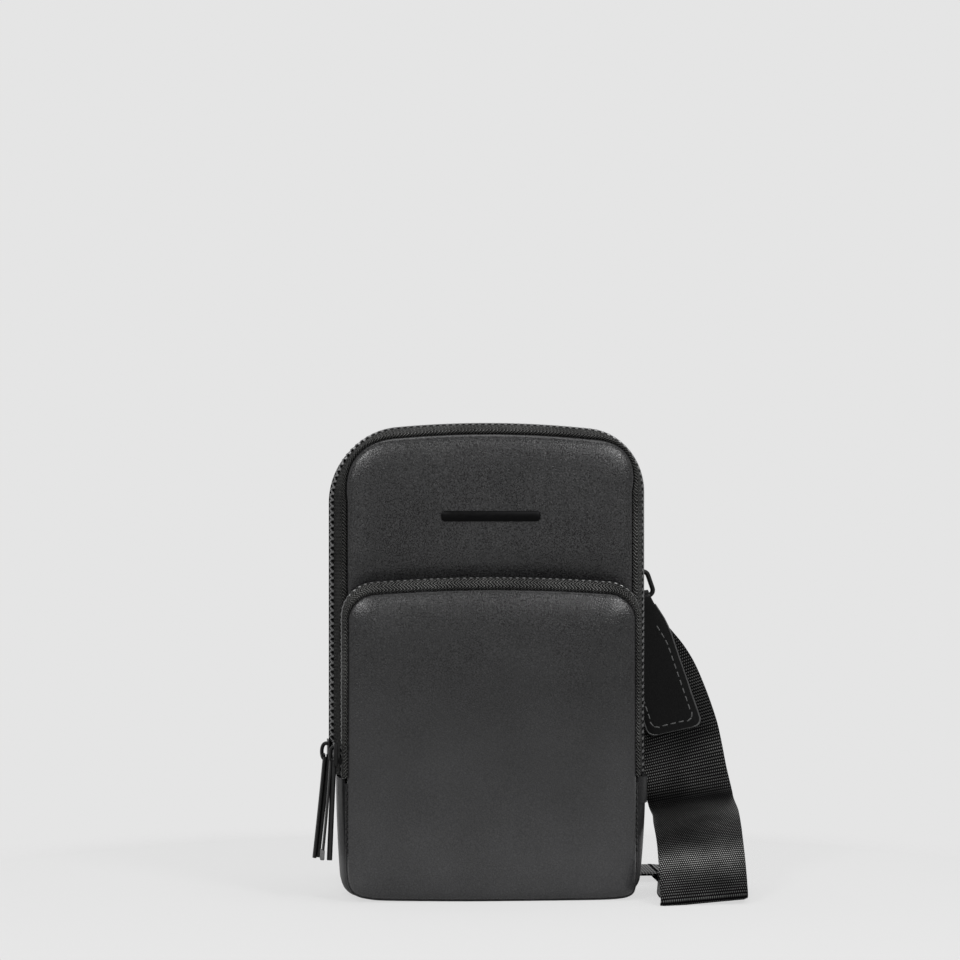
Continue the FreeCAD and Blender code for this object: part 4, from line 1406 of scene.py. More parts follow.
@dataclass
class Shell:
    """Leather panels, gussets and linings of the two compartments."""

    main: Outline
    pocket: Outline
    main_seam: Seam
    pocket_seam: Seam
    back_seam: Seam
    front_face: float = -12.3
    front_flat: float = -9.8
    pocket_face: float = -23.0
    back_face: float = 23.0
    play: float = 0.15
    rim_step: float = 1.6
    fold: float = 47.7
    rings: Tuple[float, ...] = (0.0, 0.25, 0.6, 1.05, 1.6, 2.3, 3.2, 4.4, 6.2)

    def rim(self, run: Run, seam: Seam) -> Array:
        """Rim of a panel along a run, just inside its seam."""
        return run.points - run.normals * (seam.inset(run.normals) + self.play)[:, None]

    def pocket_foot(self) -> Array:
        """Lower edge of the pocket panel from the left fold line to the right: straight sides, low middle.

        Returns:
            Its points, as across and up.
        """
        side = self.pocket.half - self.pocket_seam.side - self.play
        left = np.array([
            (side, 48.0), (side, 38.0), (side, 26.0), (side, 15.0), (side - 0.1, 9.5), (side - 0.7, 6.2),
            (side - 2.0, 3.8), (side - 4.2, 2.4), (side - 7.5, 1.5), (side - 14.0, 0.8), (24.0, 0.4), (8.0, 0.2),
        ])
        right = np.array([
            (side, 48.0), (side, 38.0), (side, 26.0), (side, 15.0), (side, 9.0), (side - 0.2, 5.6),
            (side - 1.0, 3.0), (side - 2.8, 1.6), (side - 6.5, 0.8), (side - 14.0, 0.4), (24.0, 0.25), (8.0, 0.2),
        ])
        return ease_rows(np.concatenate([left * np.array([-1.0, 1.0]), right[::-1]]), 5)

    def pocket_rim(self) -> Array:
        """Whole rim of the pocket panel."""
        top = self.rim(self.pocket.upper(self.pocket.fold, self.rim_step), self.pocket_seam)
        return np.concatenate([self.pocket_foot(), top[::-1][1:-1]])

    def crown(self, gap: Array, roll: object) -> Array:
        """Share of the full height at a distance from the rim: a rolled edge."""
        share = np.clip(gap / roll, 0.0, 1.0)
        return np.sqrt(np.clip(1.0 - (1.0 - share) ** 2, 0.0, 1.0))

    def front_depth(self, x: Array, z: Array, gap: Array) -> Array:
        """Depth of the front panel's face: padded above the pocket, flat behind it.

        Args:
            x: across.
            z: up.
            gap: distance to the rim.

        Returns:
            The depths.
        """
        around = self.pocket.closed(2.0).points
        away, within = rim_distance(np.stack([x, z], axis=1), around)
        outside = np.where(within, -away, away)
        puff = smooth_share(outside, -5.0, 11.0)
        face = self.front_flat + (self.front_face + 1.9 - self.front_flat) * puff
        swell = 2.3 * puff * (1.0 - np.exp(-gap / 4.2))
        wave = ripples(x, z, (1.0, 3.0, 26.0), (0.5, 5.0, 11.0))
        edge = face + 1.3
        return edge + (face - edge) * self.crown(gap, 1.5) - swell + 0.16 * wave * smooth_share(gap, 1.0, 8.0)

    def pocket_depth(self, x: Array, z: Array, gap: Array) -> Array:
        """Depth of the pocket panel's face: a soft pad with rolled edges.

        Args:
            x: across.
            z: up.
            gap: distance to the rim.

        Returns:
            The depths.
        """
        foot = 1.0 - smooth_share(z, 2.0, 16.0)
        face = self.pocket_face + 1.9
        edge = face + 1.2 + 1.9 * foot
        swell = 3.4 * (1.0 - np.exp(-gap / 7.0))
        wave = ripples(x, z, (1.0, 9.0, 30.0), (0.4, 2.0, 12.0))
        still = smooth_share(np.abs(z - POCKET_SPLIT), 0.5, 10.0)
        bulge = 0.16 * wave * smooth_share(gap, 1.5, 9.0) * still
        return edge + (face - edge) * self.crown(gap, 1.2 + 2.2 * foot) - swell - bulge

    def back_depth(self, x: Array, z: Array, gap: Array) -> Array:
        """Depth of the back panel's face.

        Args:
            x: across.
            z: up.
            gap: distance to the rim.

        Returns:
            The depths.
        """
        edge = self.back_face - 1.6
        wave = ripples(x, z, (1.0, 21.0, 30.0))
        return edge + (self.back_face - edge) * self.crown(gap, 2.6) + 0.08 * wave * smooth_share(gap, 1.0, 8.0)

    def panels(self) -> None:
        """Make the padded panels."""
        around = self.main.closed(self.rim_step)
        main, pocket, rear = self.rim(around, self.main_seam), self.pocket_rim(), self.rim(around, self.back_seam)
        split = POCKET_SPLIT
        base, lid = (-5.0, split), (split, TALL)
        flap_nodes = ["front_panel_upper", "front_panel_lower", "front_foam"]
        for name, body, nodes, rim, depth, back, spacing, keep, fill in (
            ("front_panel_pad", Bend.FLAP, flap_nodes, main, self.front_depth, -5.9, 3.0, None, 0.7),
            ("pocket_panel_base", Bend.FLAP, ["pocket_panel_lower"], pocket, self.pocket_depth, -18.9, 3.0, base, 0.7),
            ("pocket_panel_lid", Bend.POCKET, ["pocket_panel_upper", "pocket_foam"], pocket, self.pocket_depth, -18.9,
             3.0, lid, 0.7),
            ("back_panel_pad", "rear_shell", ["back_panel", "back_foam"], rear, self.back_depth, 19.1, 4.0, None, 0.6),
        ):
            pad = padded_panel(rim, depth, back, self.rings, spacing, keep).piece(name, Finish.SHELL, 60.0)
            settle(pad, body, nodes)

    def gusset(
        self, outline: Outline, front: Tuple[float, Seam], rear: Tuple[float, Seam], draw: Pair,
        thick: float = 1.2, lift: float = 0.0, above: Optional[float] = None,
    ) -> Shape:
        """Leather wall below the fold, rolled in at both edges.

        Args:
            outline: outline that it follows.
            front: depth of its front edge and the seam there.
            rear: the same at the back.
            draw: how far the left and the right side are drawn in.
            thick: thickness of the leather.
            lift: how far it stands out from the wall.
            above: height above which only the right side is made, for a patch.

        Returns:
            The wall.
        """
        run = outline.lower(self.fold, 1.5)
        if above is not None:
            run = run.cut((run.points[:, 1] > above) & (run.points[:, 0] > 0))
        down = np.clip(1.0 - run.points[:, 1] / self.fold, 0.0, 1.0)
        drawn = np.where(run.points[:, 0] < 0, draw[0] - 1.5 * down**2, draw[1] - 0.6 * down**2)
        start = 0.75 + (drawn - 0.75) * np.abs(run.normals[:, 0]) - lift
        outer: Profile = []
        inner: Profile = []
        middle = (front[0] + rear[0]) / 2
        for (end, seam), ahead in ((front, -1.0), (rear, 1.0)):
            inset = seam.inset(run.normals)
            half: Profile = []
            half_in: Profile = []
            for angle in np.linspace(0.0, math.pi / 2, 9):
                roll = start + (inset - 0.9 - lift - start) * (1 - math.cos(angle))
                y = middle + (end - middle) * (0.35 + 0.65 * math.sin(angle))
                half.append((roll, y))
                half_in.append((roll + thick * math.cos(angle), y - ahead * thick * math.sin(angle)))
            for more, drop in ((-0.25, 0.35), (0.1, 1.1), (TUCK, TUCK_DROP)):
                half.append((inset + more, end - ahead * drop))
            half_in.append((inset + TUCK, end - ahead * (TUCK_DROP + thick)))
            if ahead < 0:
                outer, inner = half[::-1], half_in[::-1]
            else:
                outer, inner = outer + half, inner + half_in
        return run.sweep(outer + inner[::-1])

    def gussets(self) -> None:
        """Make the leather walls below the zips, and the sewn patch at the main zip's right end."""
        main = self.gusset(self.main, (-15.5, self.main_seam), (22.8, self.back_seam), (2.7, 0.75))
        settle(main.piece("base_gusset_leather", Finish.GUSSET), "rear_shell", ["base_gusset"])
        patch = self.gusset(
            self.main, (-15.9, self.main_seam), (14.0, self.back_seam), (2.7, 0.75), thick=0.9, lift=0.45, above=36.5
        )
        settle(patch.piece("zip_end_patch", Finish.GUSSET), "rear_shell")
        path = dashes([(58.3, -15.0, 38.0), (58.3, -15.0, 46.6)], 2.2)
        sew("zip_end_stitches", [path], (1.4, 0.5), -1.0, Finish.LIGHT_THREAD, "rear_shell")
        line = self.pocket_foot()
        line = line[line[:, 1] < self.fold + 0.05]
        ways = travel(line)
        run = Run(line, np.stack([ways[:, 1], -ways[:, 0]], axis=1), lengths(line))
        profile = (
            (1.2, -19.7), (0.3, -19.8), (-0.35, -19.55), (-0.7, -18.9), (-0.7, -17.9), (-0.3, -16.8), (-0.3, -11.5),
            (0.2, -10.3), (1.2, -9.9), (1.2, -11.0), (0.9, -12.0), (0.9, -18.4),
        )
        flare = 0.4 + 0.6 * smooth_share(line[:, 1], 4.0, 16.0) + 1.6 * smooth_share(line[:, 1], 43.5, 47.5)
        wall = run.sweep([(inset * (flare if inset < 0 else 1.0), y) for inset, y in profile])
        settle(wall.piece("pocket_gusset_leather", Finish.GUSSET), "rear_shell", ["pocket_gusset"])

    def linings(self) -> None:
        """Make the cloth linings and the slip pocket inside."""
        front = self.lining(self.main, 6.0, -5.8, -5.3, 49.0)
        lid = self.lining(self.pocket, 4.4, -18.8, -18.3, POCKET_SPLIT)
        back = self.lining(self.main, 4.8, 18.5, 19.0, 1.8)
        for shape, name, body, node, flat in (
            (front, "front_lining_cloth", Bend.FLAP, "lining_front", (113.0, 130.0)),
            (lid, "pocket_lining_cloth", Bend.POCKET, "pocket_lining", (109.6, 61.8)),
            (back, "back_lining_cloth", "rear_shell", "lining_back", (115.4, 178.9)),
            (self.slip(), "slip_pocket_cloth", "rear_shell", "slip_pocket", (92.0, 90.0)),
        ):
            cloth = settle(shape.piece(name, Finish.LINING), body, [node])

    def lining(self, outline: Outline, inset: float, front: float, back: float, low: float) -> Shape:
        """Thin flat cloth over a compartment's wall.

        Args:
            outline: outline of the compartment.
            inset: distance from it to the cloth's edge.
            front: depth of the cloth's front.
            back: depth of its back.
            low: height of its lower edge.

        Returns:
            The cloth.
        """
        run = outline.closed(3.0)
        rim = clip_rim(run.points - run.normals * inset, (low, TALL))
        rim = rim[np.linalg.norm(rim - np.roll(rim, 1, axis=0), axis=1) > 0.05]
        made = padded_panel(rim, lambda x, z, gap: np.full(len(x), front), back, (0.0, 2.0), 9.0)
        made.corners = [[(made.vertices[k][2], made.vertices[k][0]) for k in face] for face in made.faces]
        return made

    def slip(self) -> Shape:
        """Slip pocket: a cloth patch whose upper edge stands off a little and has a hem.

        Returns:
            The patch.
        """
        half, low, high = 46.0, 22.0, 112.0
        rows = []
        for x in np.linspace(-half, half, 25):
            share = 1.0 - (x / half) ** 2
            up = np.linspace(low, high, 19)
            out = 0.7 * share * smooth_share(up, 40.0, 110.0)
            row = [(x, 17.95 - off - (0.25 if z > 104.0 else 0.0), z) for z, off in zip(up, out)]
            rows.append(row + [(x, 18.35 - off, z) for z, off in zip(up[::-1], out[::-1])])
        rows = np.array(rows, dtype=float)
        return loft(rows, rows[:, 0, 0] + half)

    def bar(self) -> None:
        """Blank bar on the front panel."""
        outline = rounded_loop(39.0, 4.1, 1.5, 4)
        rows = [
            [(x * share, y, z * (1 - (1 - share) * 8)) for x, z in outline]
            for y, share in ((0.45, 0.99), (0.3, 1.0), (-0.25, 1.0), (-0.45, 0.985))
        ]
        face = float(self.front_depth(np.array([0.0]), np.array([149.5]), np.array([30.0]))[0])
        made = loft(np.array(rows)).at(0.0, face - 0.35, 149.9)
        settle(made.piece("front_bar_plate", Finish.PLATE), "front_flap", ["front_bar"])

    def stitches(self) -> None:
        """Dark stitches along the lower side seams."""
        side = self.pocket.half - self.pocket_seam.side + 0.25
        paths = [dashes([(x, -19.5, 43.5), (x, -19.5, 18.5)], 2.6) for x in (-side, side)]
        sew("side_seam_stitches", paths, (1.7, 0.75), -1.0, Finish.DARK_THREAD, "rear_shell")

    def build(self) -> None:
        """Make every piece of the shell."""
        self.panels()
        self.gussets()
        self.linings()
        self.bar()
        self.stitches()
        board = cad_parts["base_board"]
        board.data.materials.clear()
        board.data.materials.append(material_of(Finish.BOARD))


@dataclass
class ZipPull:
    """Slider with its bail, and the strip that hangs from it."""

    name: str
    half: float
    chain_y: float
    hinge: Point
    lean: float
    leaves: Tuple[Leaf, ...]
    turn_deg: float
    bail: float = 2.5
    plate: float = 0.7
    stand: float = 0.15
    tipped: bool = False
    middle_z: float = 57.5

    def slider(self) -> None:
        """Slider: two plates, the post between them and an arched bail."""
        face, y, z = self.half, self.chain_y, self.middle_z
        outer = rounded_box((self.plate, 6.6, 9.0), 0.33).at(-face - self.stand - self.plate / 2, y, z - 0.3)
        inner = rounded_box((0.7, 5.4, 10.0), 0.3).at(-face + 3.4, y, z)
        post = rounded_box((4.8, 0.8, 2.4), 0.2).at(-face + 1.05, y, z - 3.0)
        arch = []
        for angle in np.linspace(-math.pi / 2, math.pi / 2, 15):
            out = self.stand + self.plate - 0.25 + self.bail * abs(math.cos(angle)) ** 0.55
            arch.append((-face - out, y, z - 0.8 + 3.3 * math.sin(angle)))
        level = np.array([0.0, y, 0.0])
        bail = tube(np.array(arch), 0.75, False).moved(lambda p: level + (p - level) * np.array([1.0, 1.4, 1.0]))
        axis = np.array([-face + 0.6, y, 0.0])
        angle = math.radians(self.turn_deg)
        spin = np.array([
            [math.cos(angle), -math.sin(angle), 0.0], [math.sin(angle), math.cos(angle), 0.0], [0.0, 0.0, 1.0]
        ])
        body = outer.add(inner).add(post).moved(lambda p: (p - axis) @ spin.T + axis).add(bail)
        settle(body.piece(f"{self.name}_slider_body", Finish.HARDWARE), f"{self.name}_slider",
               [f"{self.name}_slider"])

    def blade(self, top: float, length: float, thick: float, out: float, spread: float) -> Shape:
        """One leaf of the strip, hanging from the bail.

        Args:
            top: distance of its upper end below the hinge.
            length: distance of its lower end below the hinge.
            thick: thickness.
            out: distance of its middle from the strip's line, outwards.
            spread: how far its lower end stands off more.

        Returns:
            The leaf, in the strip's own frame.
        """
        down = np.concatenate([[top], np.linspace(top + 3, length - 1.2, 9), [length - 0.4, length]])
        share = (down - top) / (length - top)
        centres = np.stack([-(out + spread * share**1.6), np.zeros(len(down)), -down], axis=1)
        wide = np.where(down > length - 0.2, 4.6, 5.1) * np.where(down < top + 1, 0.86, 1.0)
        widths = np.stack([np.zeros(len(down)), wide, np.zeros(len(down))], axis=1)
        return ribbon(centres, widths, thick, 6).plain()

    def pull(self) -> None:
        """Strip folded through the bail: a loop, a long leaf and a shorter one behind it."""
        angle = math.radians(self.lean)
        turn = np.array([
            [math.cos(angle), 0.0, math.sin(angle)], [0.0, 1.0, 0.0], [-math.sin(angle), 0.0, math.cos(angle)]
        ])

        def hang(points: Array) -> Array:
            """Points of the strip, turned and hung on the hinge."""
            return points @ turn.T + np.array(self.hinge)

        loop = np.array([(0.62 * math.sin(a), 0.0, 0.62 * math.cos(a)) for a in np.linspace(-2.4, 2.4, 13)])
        strip = ribbon(loop, np.array([0.0, 3.6, 0.0]), 0.5, 4, unit(loop)).plain()
        for leaf in self.leaves:
            strip.add(self.blade(*leaf))
        piece = strip.moved(hang).piece(f"{self.name}_pull_strip", Finish.PULL, 50.0)
        settle(piece, f"{self.name}_pull", [f"{self.name}_pull"])
        if self.tipped:
            _, length, thick, out, spread = self.leaves[-1]
            tip = rounded_box((thick + 0.7, 5.3, 4.0), 0.45).at(-(out + spread), 0.0, -length + 1.7)
            end = tip.moved(hang).piece(f"{self.name}_pull_tip", Finish.PULL_TIP, 50.0)
            settle(end, f"{self.name}_pull")

    def build(self) -> None:
        """Make the slider and the pull."""
        self.slider()
        self.pull()


# ---- the strap


@dataclass(frozen=True)
class RingFrame:
    """Leaning frame of a ring on the back: across, depth and up from the ring's centre."""

    side: int
    lean_deg: float = 19.0
    anchor_x: float = 47.9
    anchor_z: float = 145.2
    reach: float = 27.5
    depth: float = 28.0

    def place(self, points: object) -> Array:
        """Points of this frame in the pouch's own frame.

        Args:
            points: across, depth and up of one point, or rows of them.

        Returns:
            The same as x, y and z.
        """
        lean = math.radians(self.lean_deg)
        centre = np.array([
            self.side * self.anchor_x + math.sin(lean) * self.reach, self.depth,
            self.anchor_z - math.cos(lean) * self.reach,
        ])
        across = np.array([math.cos(lean), 0.0, math.sin(lean)])
        up = np.array([-math.sin(lean), 0.0, math.cos(lean)])
        points = np.asarray(points, dtype=float)
        return centre + points[..., :1] * across + points[..., 1:2] * np.array([0.0, 1.0, 0.0]) + points[..., 2:] * up

    def direction(self, vector: Sequence[float]) -> Array:
        """A direction of this frame in the pouch's own frame."""
        return self.place(vector) - self.place((0.0, 0.0, 0.0))


def strip_path(
    corners: Sequence[Pair], width: Callable[[float], float], thick: float, step: float = 1.0
) -> Shape:
    """Leather strip along a bent line of depth and height, in a ring's frame.

    Args:
        corners: the line's points, as depth and up.
        width: function from the share of the line to the strip's width.
        thick: thickness.
        step: distance between its stations, which lie closer together near both ends.

    Returns:
        The strip.
    """
    line = np.array([(0.0, y, up) for y, up in corners])
    along = lengths(line)
    near = np.array([0.15, 0.5, 1.0, 1.7, 2.4, 3.0])
    even = np.linspace(0, along[-1], max(8, int(along[-1] / step)))
    at = np.unique(np.concatenate([even, near, along[-1] - near]))
    centres = resample(line, along, at)
    wide = np.array([width(place / along[-1]) for place in at])
    widths = np.stack([wide, np.zeros(len(at)), np.zeros(len(at))], axis=1)
    return ribbon(centres, widths, thick, 8).plain()


def bow(
    centre: Pair, radius: float, start: float, end: float, count: int
) -> List[Pair]:
    """Points on an arc in depth and height, from one angle in degrees to another."""
    angles = [math.radians(angle) for angle in np.linspace(start, end, count)]
    return [(centre[0] + radius * math.cos(a), centre[1] + radius * math.sin(a)) for a in angles]


@dataclass
class StrapEnds:
    """Lugs, rings and leather strap ends on the back."""

    right: RingFrame
    left: RingFrame
    bar: float = 2.0
    drop: float = 5.0
    tab_end: float = 60.0
    link: float = 34.0

    def ring(self, name: str, place: RingFrame, inside: float, opening: float, middle: float, body: str) -> None:
        """Closed ring of round bar.

        Args:
            name: CAD node that it replaces.
            place: frame that it lies in.
            inside: inner width.
            opening: inner height.
            middle: height of its centre in the frame.
            body: body that it rides on.
        """
        loop = rounded_loop(inside + self.bar, opening + self.bar, 2.2)
        points = np.stack([loop[:, 0], np.zeros(len(loop)), loop[:, 1] + middle], axis=1)
        made = tube(points, self.bar / 2 - 0.03, True, 14).moved(place.place)
        settle(made.piece(name + "_bar", Finish.HARDWARE, 60.0), body, [name])

    def lug(self, name: str, place: RingFrame) -> None:
        """Leather lug folded through the ring and sewn flat on the back.

        Args:
            name: CAD node that it replaces.
            place: frame that it lies in.
        """
        low = self.drop
        corners = [(-4.3, 27.5), (-4.3, 12.5), (-3.6, 9.6), *bow((0.0, low), 2.15, 150.0, 400.0, 15),
                   (0.2, 8.4), (-1.6, 11.0), (-2.95, 14.0), (-3.0, 27.5)]

        def width(share: float) -> float:
            """Width of the leather at a share of its length."""
            return 16.0 - 2.0 * corner_cut(min(share, 1.0 - share) * 52.0, 2.0)

        made = strip_path(corners, width, 1.2).moved(place.place)
        settle(made.piece(f"{name}_fold", Finish.STRAP_END), "rear_shell", [name])
        path = dashes([(-6.2, -2.35, 15.0), (-6.2, -2.35, 24.2), (6.2, -2.35, 24.2), (6.2, -2.35, 15.0),
                       (-6.2, -2.35, 15.0)], 2.6)
        path = place.place(path)
        sew(f"{name}_stitches", [path], (1.8, 0.5), 1.0, Finish.LIGHT_THREAD, "rear_shell")

    def tab(self) -> None:
        """Right strap end: leather folded round the ring with the webbing sewn between its layers."""
        end = -self.tab_end
        corners = [(1.78, end), (1.78, -12.0), (2.05, -7.0), *bow((0.0, -self.drop), 2.12, -5.0, 185.0, 11),
                   (-2.05, -7.0), (-1.78, -12.0), (-1.78, end)]
        whole = lengths(np.array(corners))[-1]

        def width(share: float) -> float:
            """Width of the leather at a share of its length."""
            gap = min(share, 1.0 - share) * whole
            return 22.0 - 3.4 * float(smooth_share(gap, 42.0, 56.0)) - 2.0 * corner_cut(gap, 3.2)

        made = strip_path(corners, width, 1.25).moved(self.slant).moved(self.right.place)
        settle(made.piece("strap_tab_right_fold", Finish.STRAP_END), "strap_end_right",
               ["strap_tab_right"])
        down = np.concatenate([np.linspace(-9.0, end + 3.2, 15), np.linspace(end + 2.6, end + 0.05, 6)])
        rim = [(0.5 * width(max(0.0, (z - end) / whole)), -2.0, z) for z in down]
        rim += [(-x, y, z) for x, y, z in rim[::-1]]
        # Painted highlight: a thin lighter tube along the strap end's edge, where the rounded edge catches the light
        edge = tube(np.array(rim), 0.42, False, 8).moved(self.slant).moved(self.right.place)
        settle(edge.piece("strap_tab_right_edge", Finish.EDGE), "strap_end_right")
        for side, ahead in (("front", -1.0), ("rear", 1.0)):
            y = ahead * 2.42
            corners_3d = [(6.8, y, -17.0), (8.3, y, -26.0), (8.3, y, end + 3.1), (-8.3, y, end + 3.1),
                          (-8.3, y, -26.0), (-6.8, y, -17.0)]
            path = self.right.place(self.slant(dashes(corners_3d, 3.3)))
            sew(f"strap_tab_stitches_{side}", [path], (2.3, 0.55), ahead, Finish.LIGHT_THREAD, "strap_end_right")

    def slant(self, points: Array) -> Array:
        """Points of the right strap end with its lower edge cut at a slant.

        Args:
            points: across, depth and up of each point.

        Returns:
            The moved points.
        """
        share = smooth_share(-points[:, 2], 25.0, self.tab_end)
        aside = 1.2 * smooth_share(-points[:, 2], 6.0, 24.0)
        return points + np.stack([
            aside, np.zeros(len(points)), -points[:, 0] * share * math.tan(math.radians(6.5))], axis=1)

    def link_left(self) -> None:
        """Left strap end: a leather loop between the ring and the square ring."""
        top, base = -self.drop, -self.drop - self.link
        corners = [(1.7, -22.0), (1.75, -12.0), (2.1, -7.0), *bow((0.0, top), 2.12, -5.0, 185.0, 11), (-2.1, -7.0),
                   (-1.75, -12.0), (-1.75, -32.0), (-2.1, -37.0), *bow((0.0, base), 2.12, 175.0, 365.0, 11),
                   (2.1, -37.0), (1.75, -32.0), (1.7, -22.4)]
        made = strip_path(corners, lambda share: 20.0, 1.25).moved(self.left.place)
        settle(made.piece("strap_tab_left_fold", Finish.STRAP_END), "strap_end_left",
               ["strap_tab_left"])
        for side, ahead in (("front", -1.0), ("rear", 1.0)):
            y = ahead * 2.4
            path = dashes([(-7.6, y, -13.0), (7.6, y, -13.0), (7.6, y, -31.0), (-7.6, y, -31.0), (-7.6, y, -13.0)], 3.0)
            sew(f"strap_link_stitches_{side}", [self.left.place(path)], (2.1, 0.5), ahead, Finish.LIGHT_THREAD,
                "strap_end_left")

    def build(self) -> None:
        """Make both strap ends."""
        self.lug("ring_loop_left", self.left)
        self.lug("ring_loop_right", self.right)
        self.ring("ring_left", self.left, 20.6, 8.0, 0.0, "strap_end_left")
        self.ring("ring_right", self.right, 20.6, 8.0, 0.0, "strap_end_right")
        self.ring("strap_square_ring", self.left, 36.0, 6.0, -43.0, "strap_end_left")
        self.tab()
        self.link_left()


@dataclass
class Webbing:
    """The webbing strap: from the right strap end to the ground, folded behind, and up to the left end."""

    right: RingFrame
    left: RingFrame
    width: float = 35.0
    thick: float = 1.5
    floor_x: float = 80.8
    yaw_deg: float = 9.0
    roll_deg: float = 3.4
    nose: float = 38.0
    drop_end: float = 86.0
    sway: float = 1.6
    swing: float = 1.0
    floor_shift: float = 9.0
    layer: float = 2.2
    runs: int = 9
    hank_front: float = 42.0
    hank_half: float = 51.0
    landing_x: float = -9.5
    landing_radius: float = 10.0
    wrap: float = 2.31

    def falling(self) -> Tuple[Array, Array]:
        """Middle line of the webbing from inside the right strap end to the ground.

        Returns:
            The line's points, and the vector across the webbing at each.
        """
        place = self.right
        centres: List[Array] = []
        widths: List[Array] = []
        for down, wide in ((9.0, 17.5), (15.0, 20.0), (22.0, 24.5), (29.0, 29.5), (37.0, 33.0), (46.0, 34.5),
                           (54.0, 35.0), (62.0, 35.0), (70.0, 35.0), (78.0, 35.0)):
            aside = float(1.2 * smooth_share(down, 8.0, 24.0)
                          - (1.2 + self.sway) * smooth_share(down, 58.0, self.drop_end))
            turn = math.radians(place.lean_deg - 10.0 * float(smooth_share(down, 40.0, 95.0)))
            centres.append(place.place((aside, 0.0, -down)))
            widths.append(np.array([math.cos(turn), 0.0, math.sin(turn)]) * wide)
        start = place.place((-self.sway, 0.0, -self.drop_end))
        floor = self.thick / 2 + self.width / 2 * math.tan(math.radians(self.roll_deg))
        rise, reach = start[2] - floor, start[1] + self.nose
        level = np.array([1.0, math.tan(math.radians(self.yaw_deg)), math.tan(math.radians(self.roll_deg))])
        tilted = np.array([1.0, 0.0, math.tan(math.radians(10.0))])
        slope = ((0.0, 1.0), (0.02, 0.93), (0.07, 0.885), (0.16, 0.85), (0.31, 0.785), (0.50, 0.68), (0.64, 0.57),
                 (0.78, 0.41), (0.90, 0.235), (0.965, 0.115), (0.998, 0.03), (0.985, -0.005), (0.93, -0.02))
        for forward, height in slope:
            x = start[0] + (self.floor_x - start[0]) * forward + self.swing * math.sin(math.pi * forward**0.42)
            share = min(1.0, forward * 1.6)
            centres.append(np.array([x, start[1] - reach * forward, floor + rise * height]))
            drawn = 1.0 - 0.035 * math.exp(-(((forward - 0.12) / 0.12) ** 2))
            widths.append(unit(tilted * (1 - share) + level * share) * self.width * drawn)
        flat = unit(np.array([1.0, math.tan(math.radians(self.yaw_deg)), 0.0])) * self.width
        for y, lift in ((-19.0, 0.25), (-10.0, 0.0)):
            centres.append(np.array([self.floor_x + 2.6, y, self.thick / 2 + lift]))
            widths.append(flat if y > -15 else unit(flat + level * 6.0) * self.width)
        return np.array(centres), np.array(widths)

    def right_side(self) -> None:
        """Webbing from the right strap end to the ground in front and back along the ground."""
        centres, widths = self.falling()
        y_end = self.hank_front
        runs = np.array([
            [self.floor_x + self.floor_shift * (y + 28.0) / (y_end + 28.0), y, self.thick / 2]
            for y in np.linspace(0.0, y_end - 2.0, 5)
        ])
        square = np.tile([self.width, 0.0, 0.0], (len(runs), 1))
        rows = ease_rows(np.concatenate([
            np.concatenate([centres, runs]), np.concatenate([widths, square])], axis=1), 6)
        middle, wide = rows[:, :3], rows[:, 3:]
        made = ribbon(middle, wide, self.thick, 16).moved(lambda points: np.maximum(points, [-TALL, -TALL, 0.02]))
        piece = made.piece("strap_right_webbing", Finish.WEBBING, 70.0)
        # Painted highlights and painted shade along the webbing's height
        self.painted_light(piece)
        settle(piece, Bend.STRAP_RIGHT, ["strap_drop", "strap_ramp"])
        self.declare(middle)

    def declare(self, line: Array) -> None:
        """Work out the length in metres of a middle line given in mm, and keep nothing of it."""
        lengths(line)[-1] * MM

    def painted_light(self, thing: Thing) -> None:
        """Paint light into the webbing's colour: painted highlights in a band where it bows out towards the lamps and a
        fainter one higher up, painted shade in the crease, beside the strap end and lower down.

        Args:
            thing: the right webbing.
        """
        spots = spots_mm(thing.data)
        up = spots[:, 2] - (spots[:, 0] - self.floor_x) * 0.10
        # Painted highlight bands, and painted shade in the crease, beside the strap end and lower down
        painted_highlight = 1.1 * np.exp(-((up - 16.5) / 4.0) ** 2) + 0.25 * np.exp(-((up - 48.0) / 4.5) ** 2)
        painted_shade = 0.85 * np.exp(-((up - 35.5) / 4.0) ** 2) + 0.6 * smooth_share(up, 51.0, 62.0)
        painted_shade = painted_shade + 0.40 * smooth_share(-up, -33.0, -28.0) + 0.15 * smooth_share(-up, -11.0, -7.0)
        paint_light(thing, np.clip(painted_highlight - painted_shade, -0.9, 2.0))

    def diagonal(self, lower: Sequence[Pair], upper: Sequence[Pair],
                 crease: Sequence[Pair], layer: int) -> Shape:
        """Fold across a corner: a flat piece, a crease and the piece above it.

        Args:
            lower: corners of the lower piece on the ground plan.
            upper: corners of the upper piece.
            crease: the two ends of the fold line.
            layer: number of the lower layer.

        Returns:
            The fold.
        """
        base = layer * self.layer
        made = self.slab(lower, base, True)
        made.add(self.slab(upper, base + self.layer, False))
        start, end = (np.array([*point, 0.0]) for point in crease)
        way = unit(end - start)
        out = np.array([way[1], -way[0], 0.0])
        radius = self.layer / 2
        middle = base + self.thick / 2 + radius
        line = np.array([
            out * (radius * math.cos(angle)) + np.array([0, 0, middle + radius * math.sin(angle)])
            for angle in np.linspace(-math.pi / 2, math.pi / 2, 9)
        ])
        return made.add(ribbon(line + (start + end) / 2, end - start, self.thick, 10))

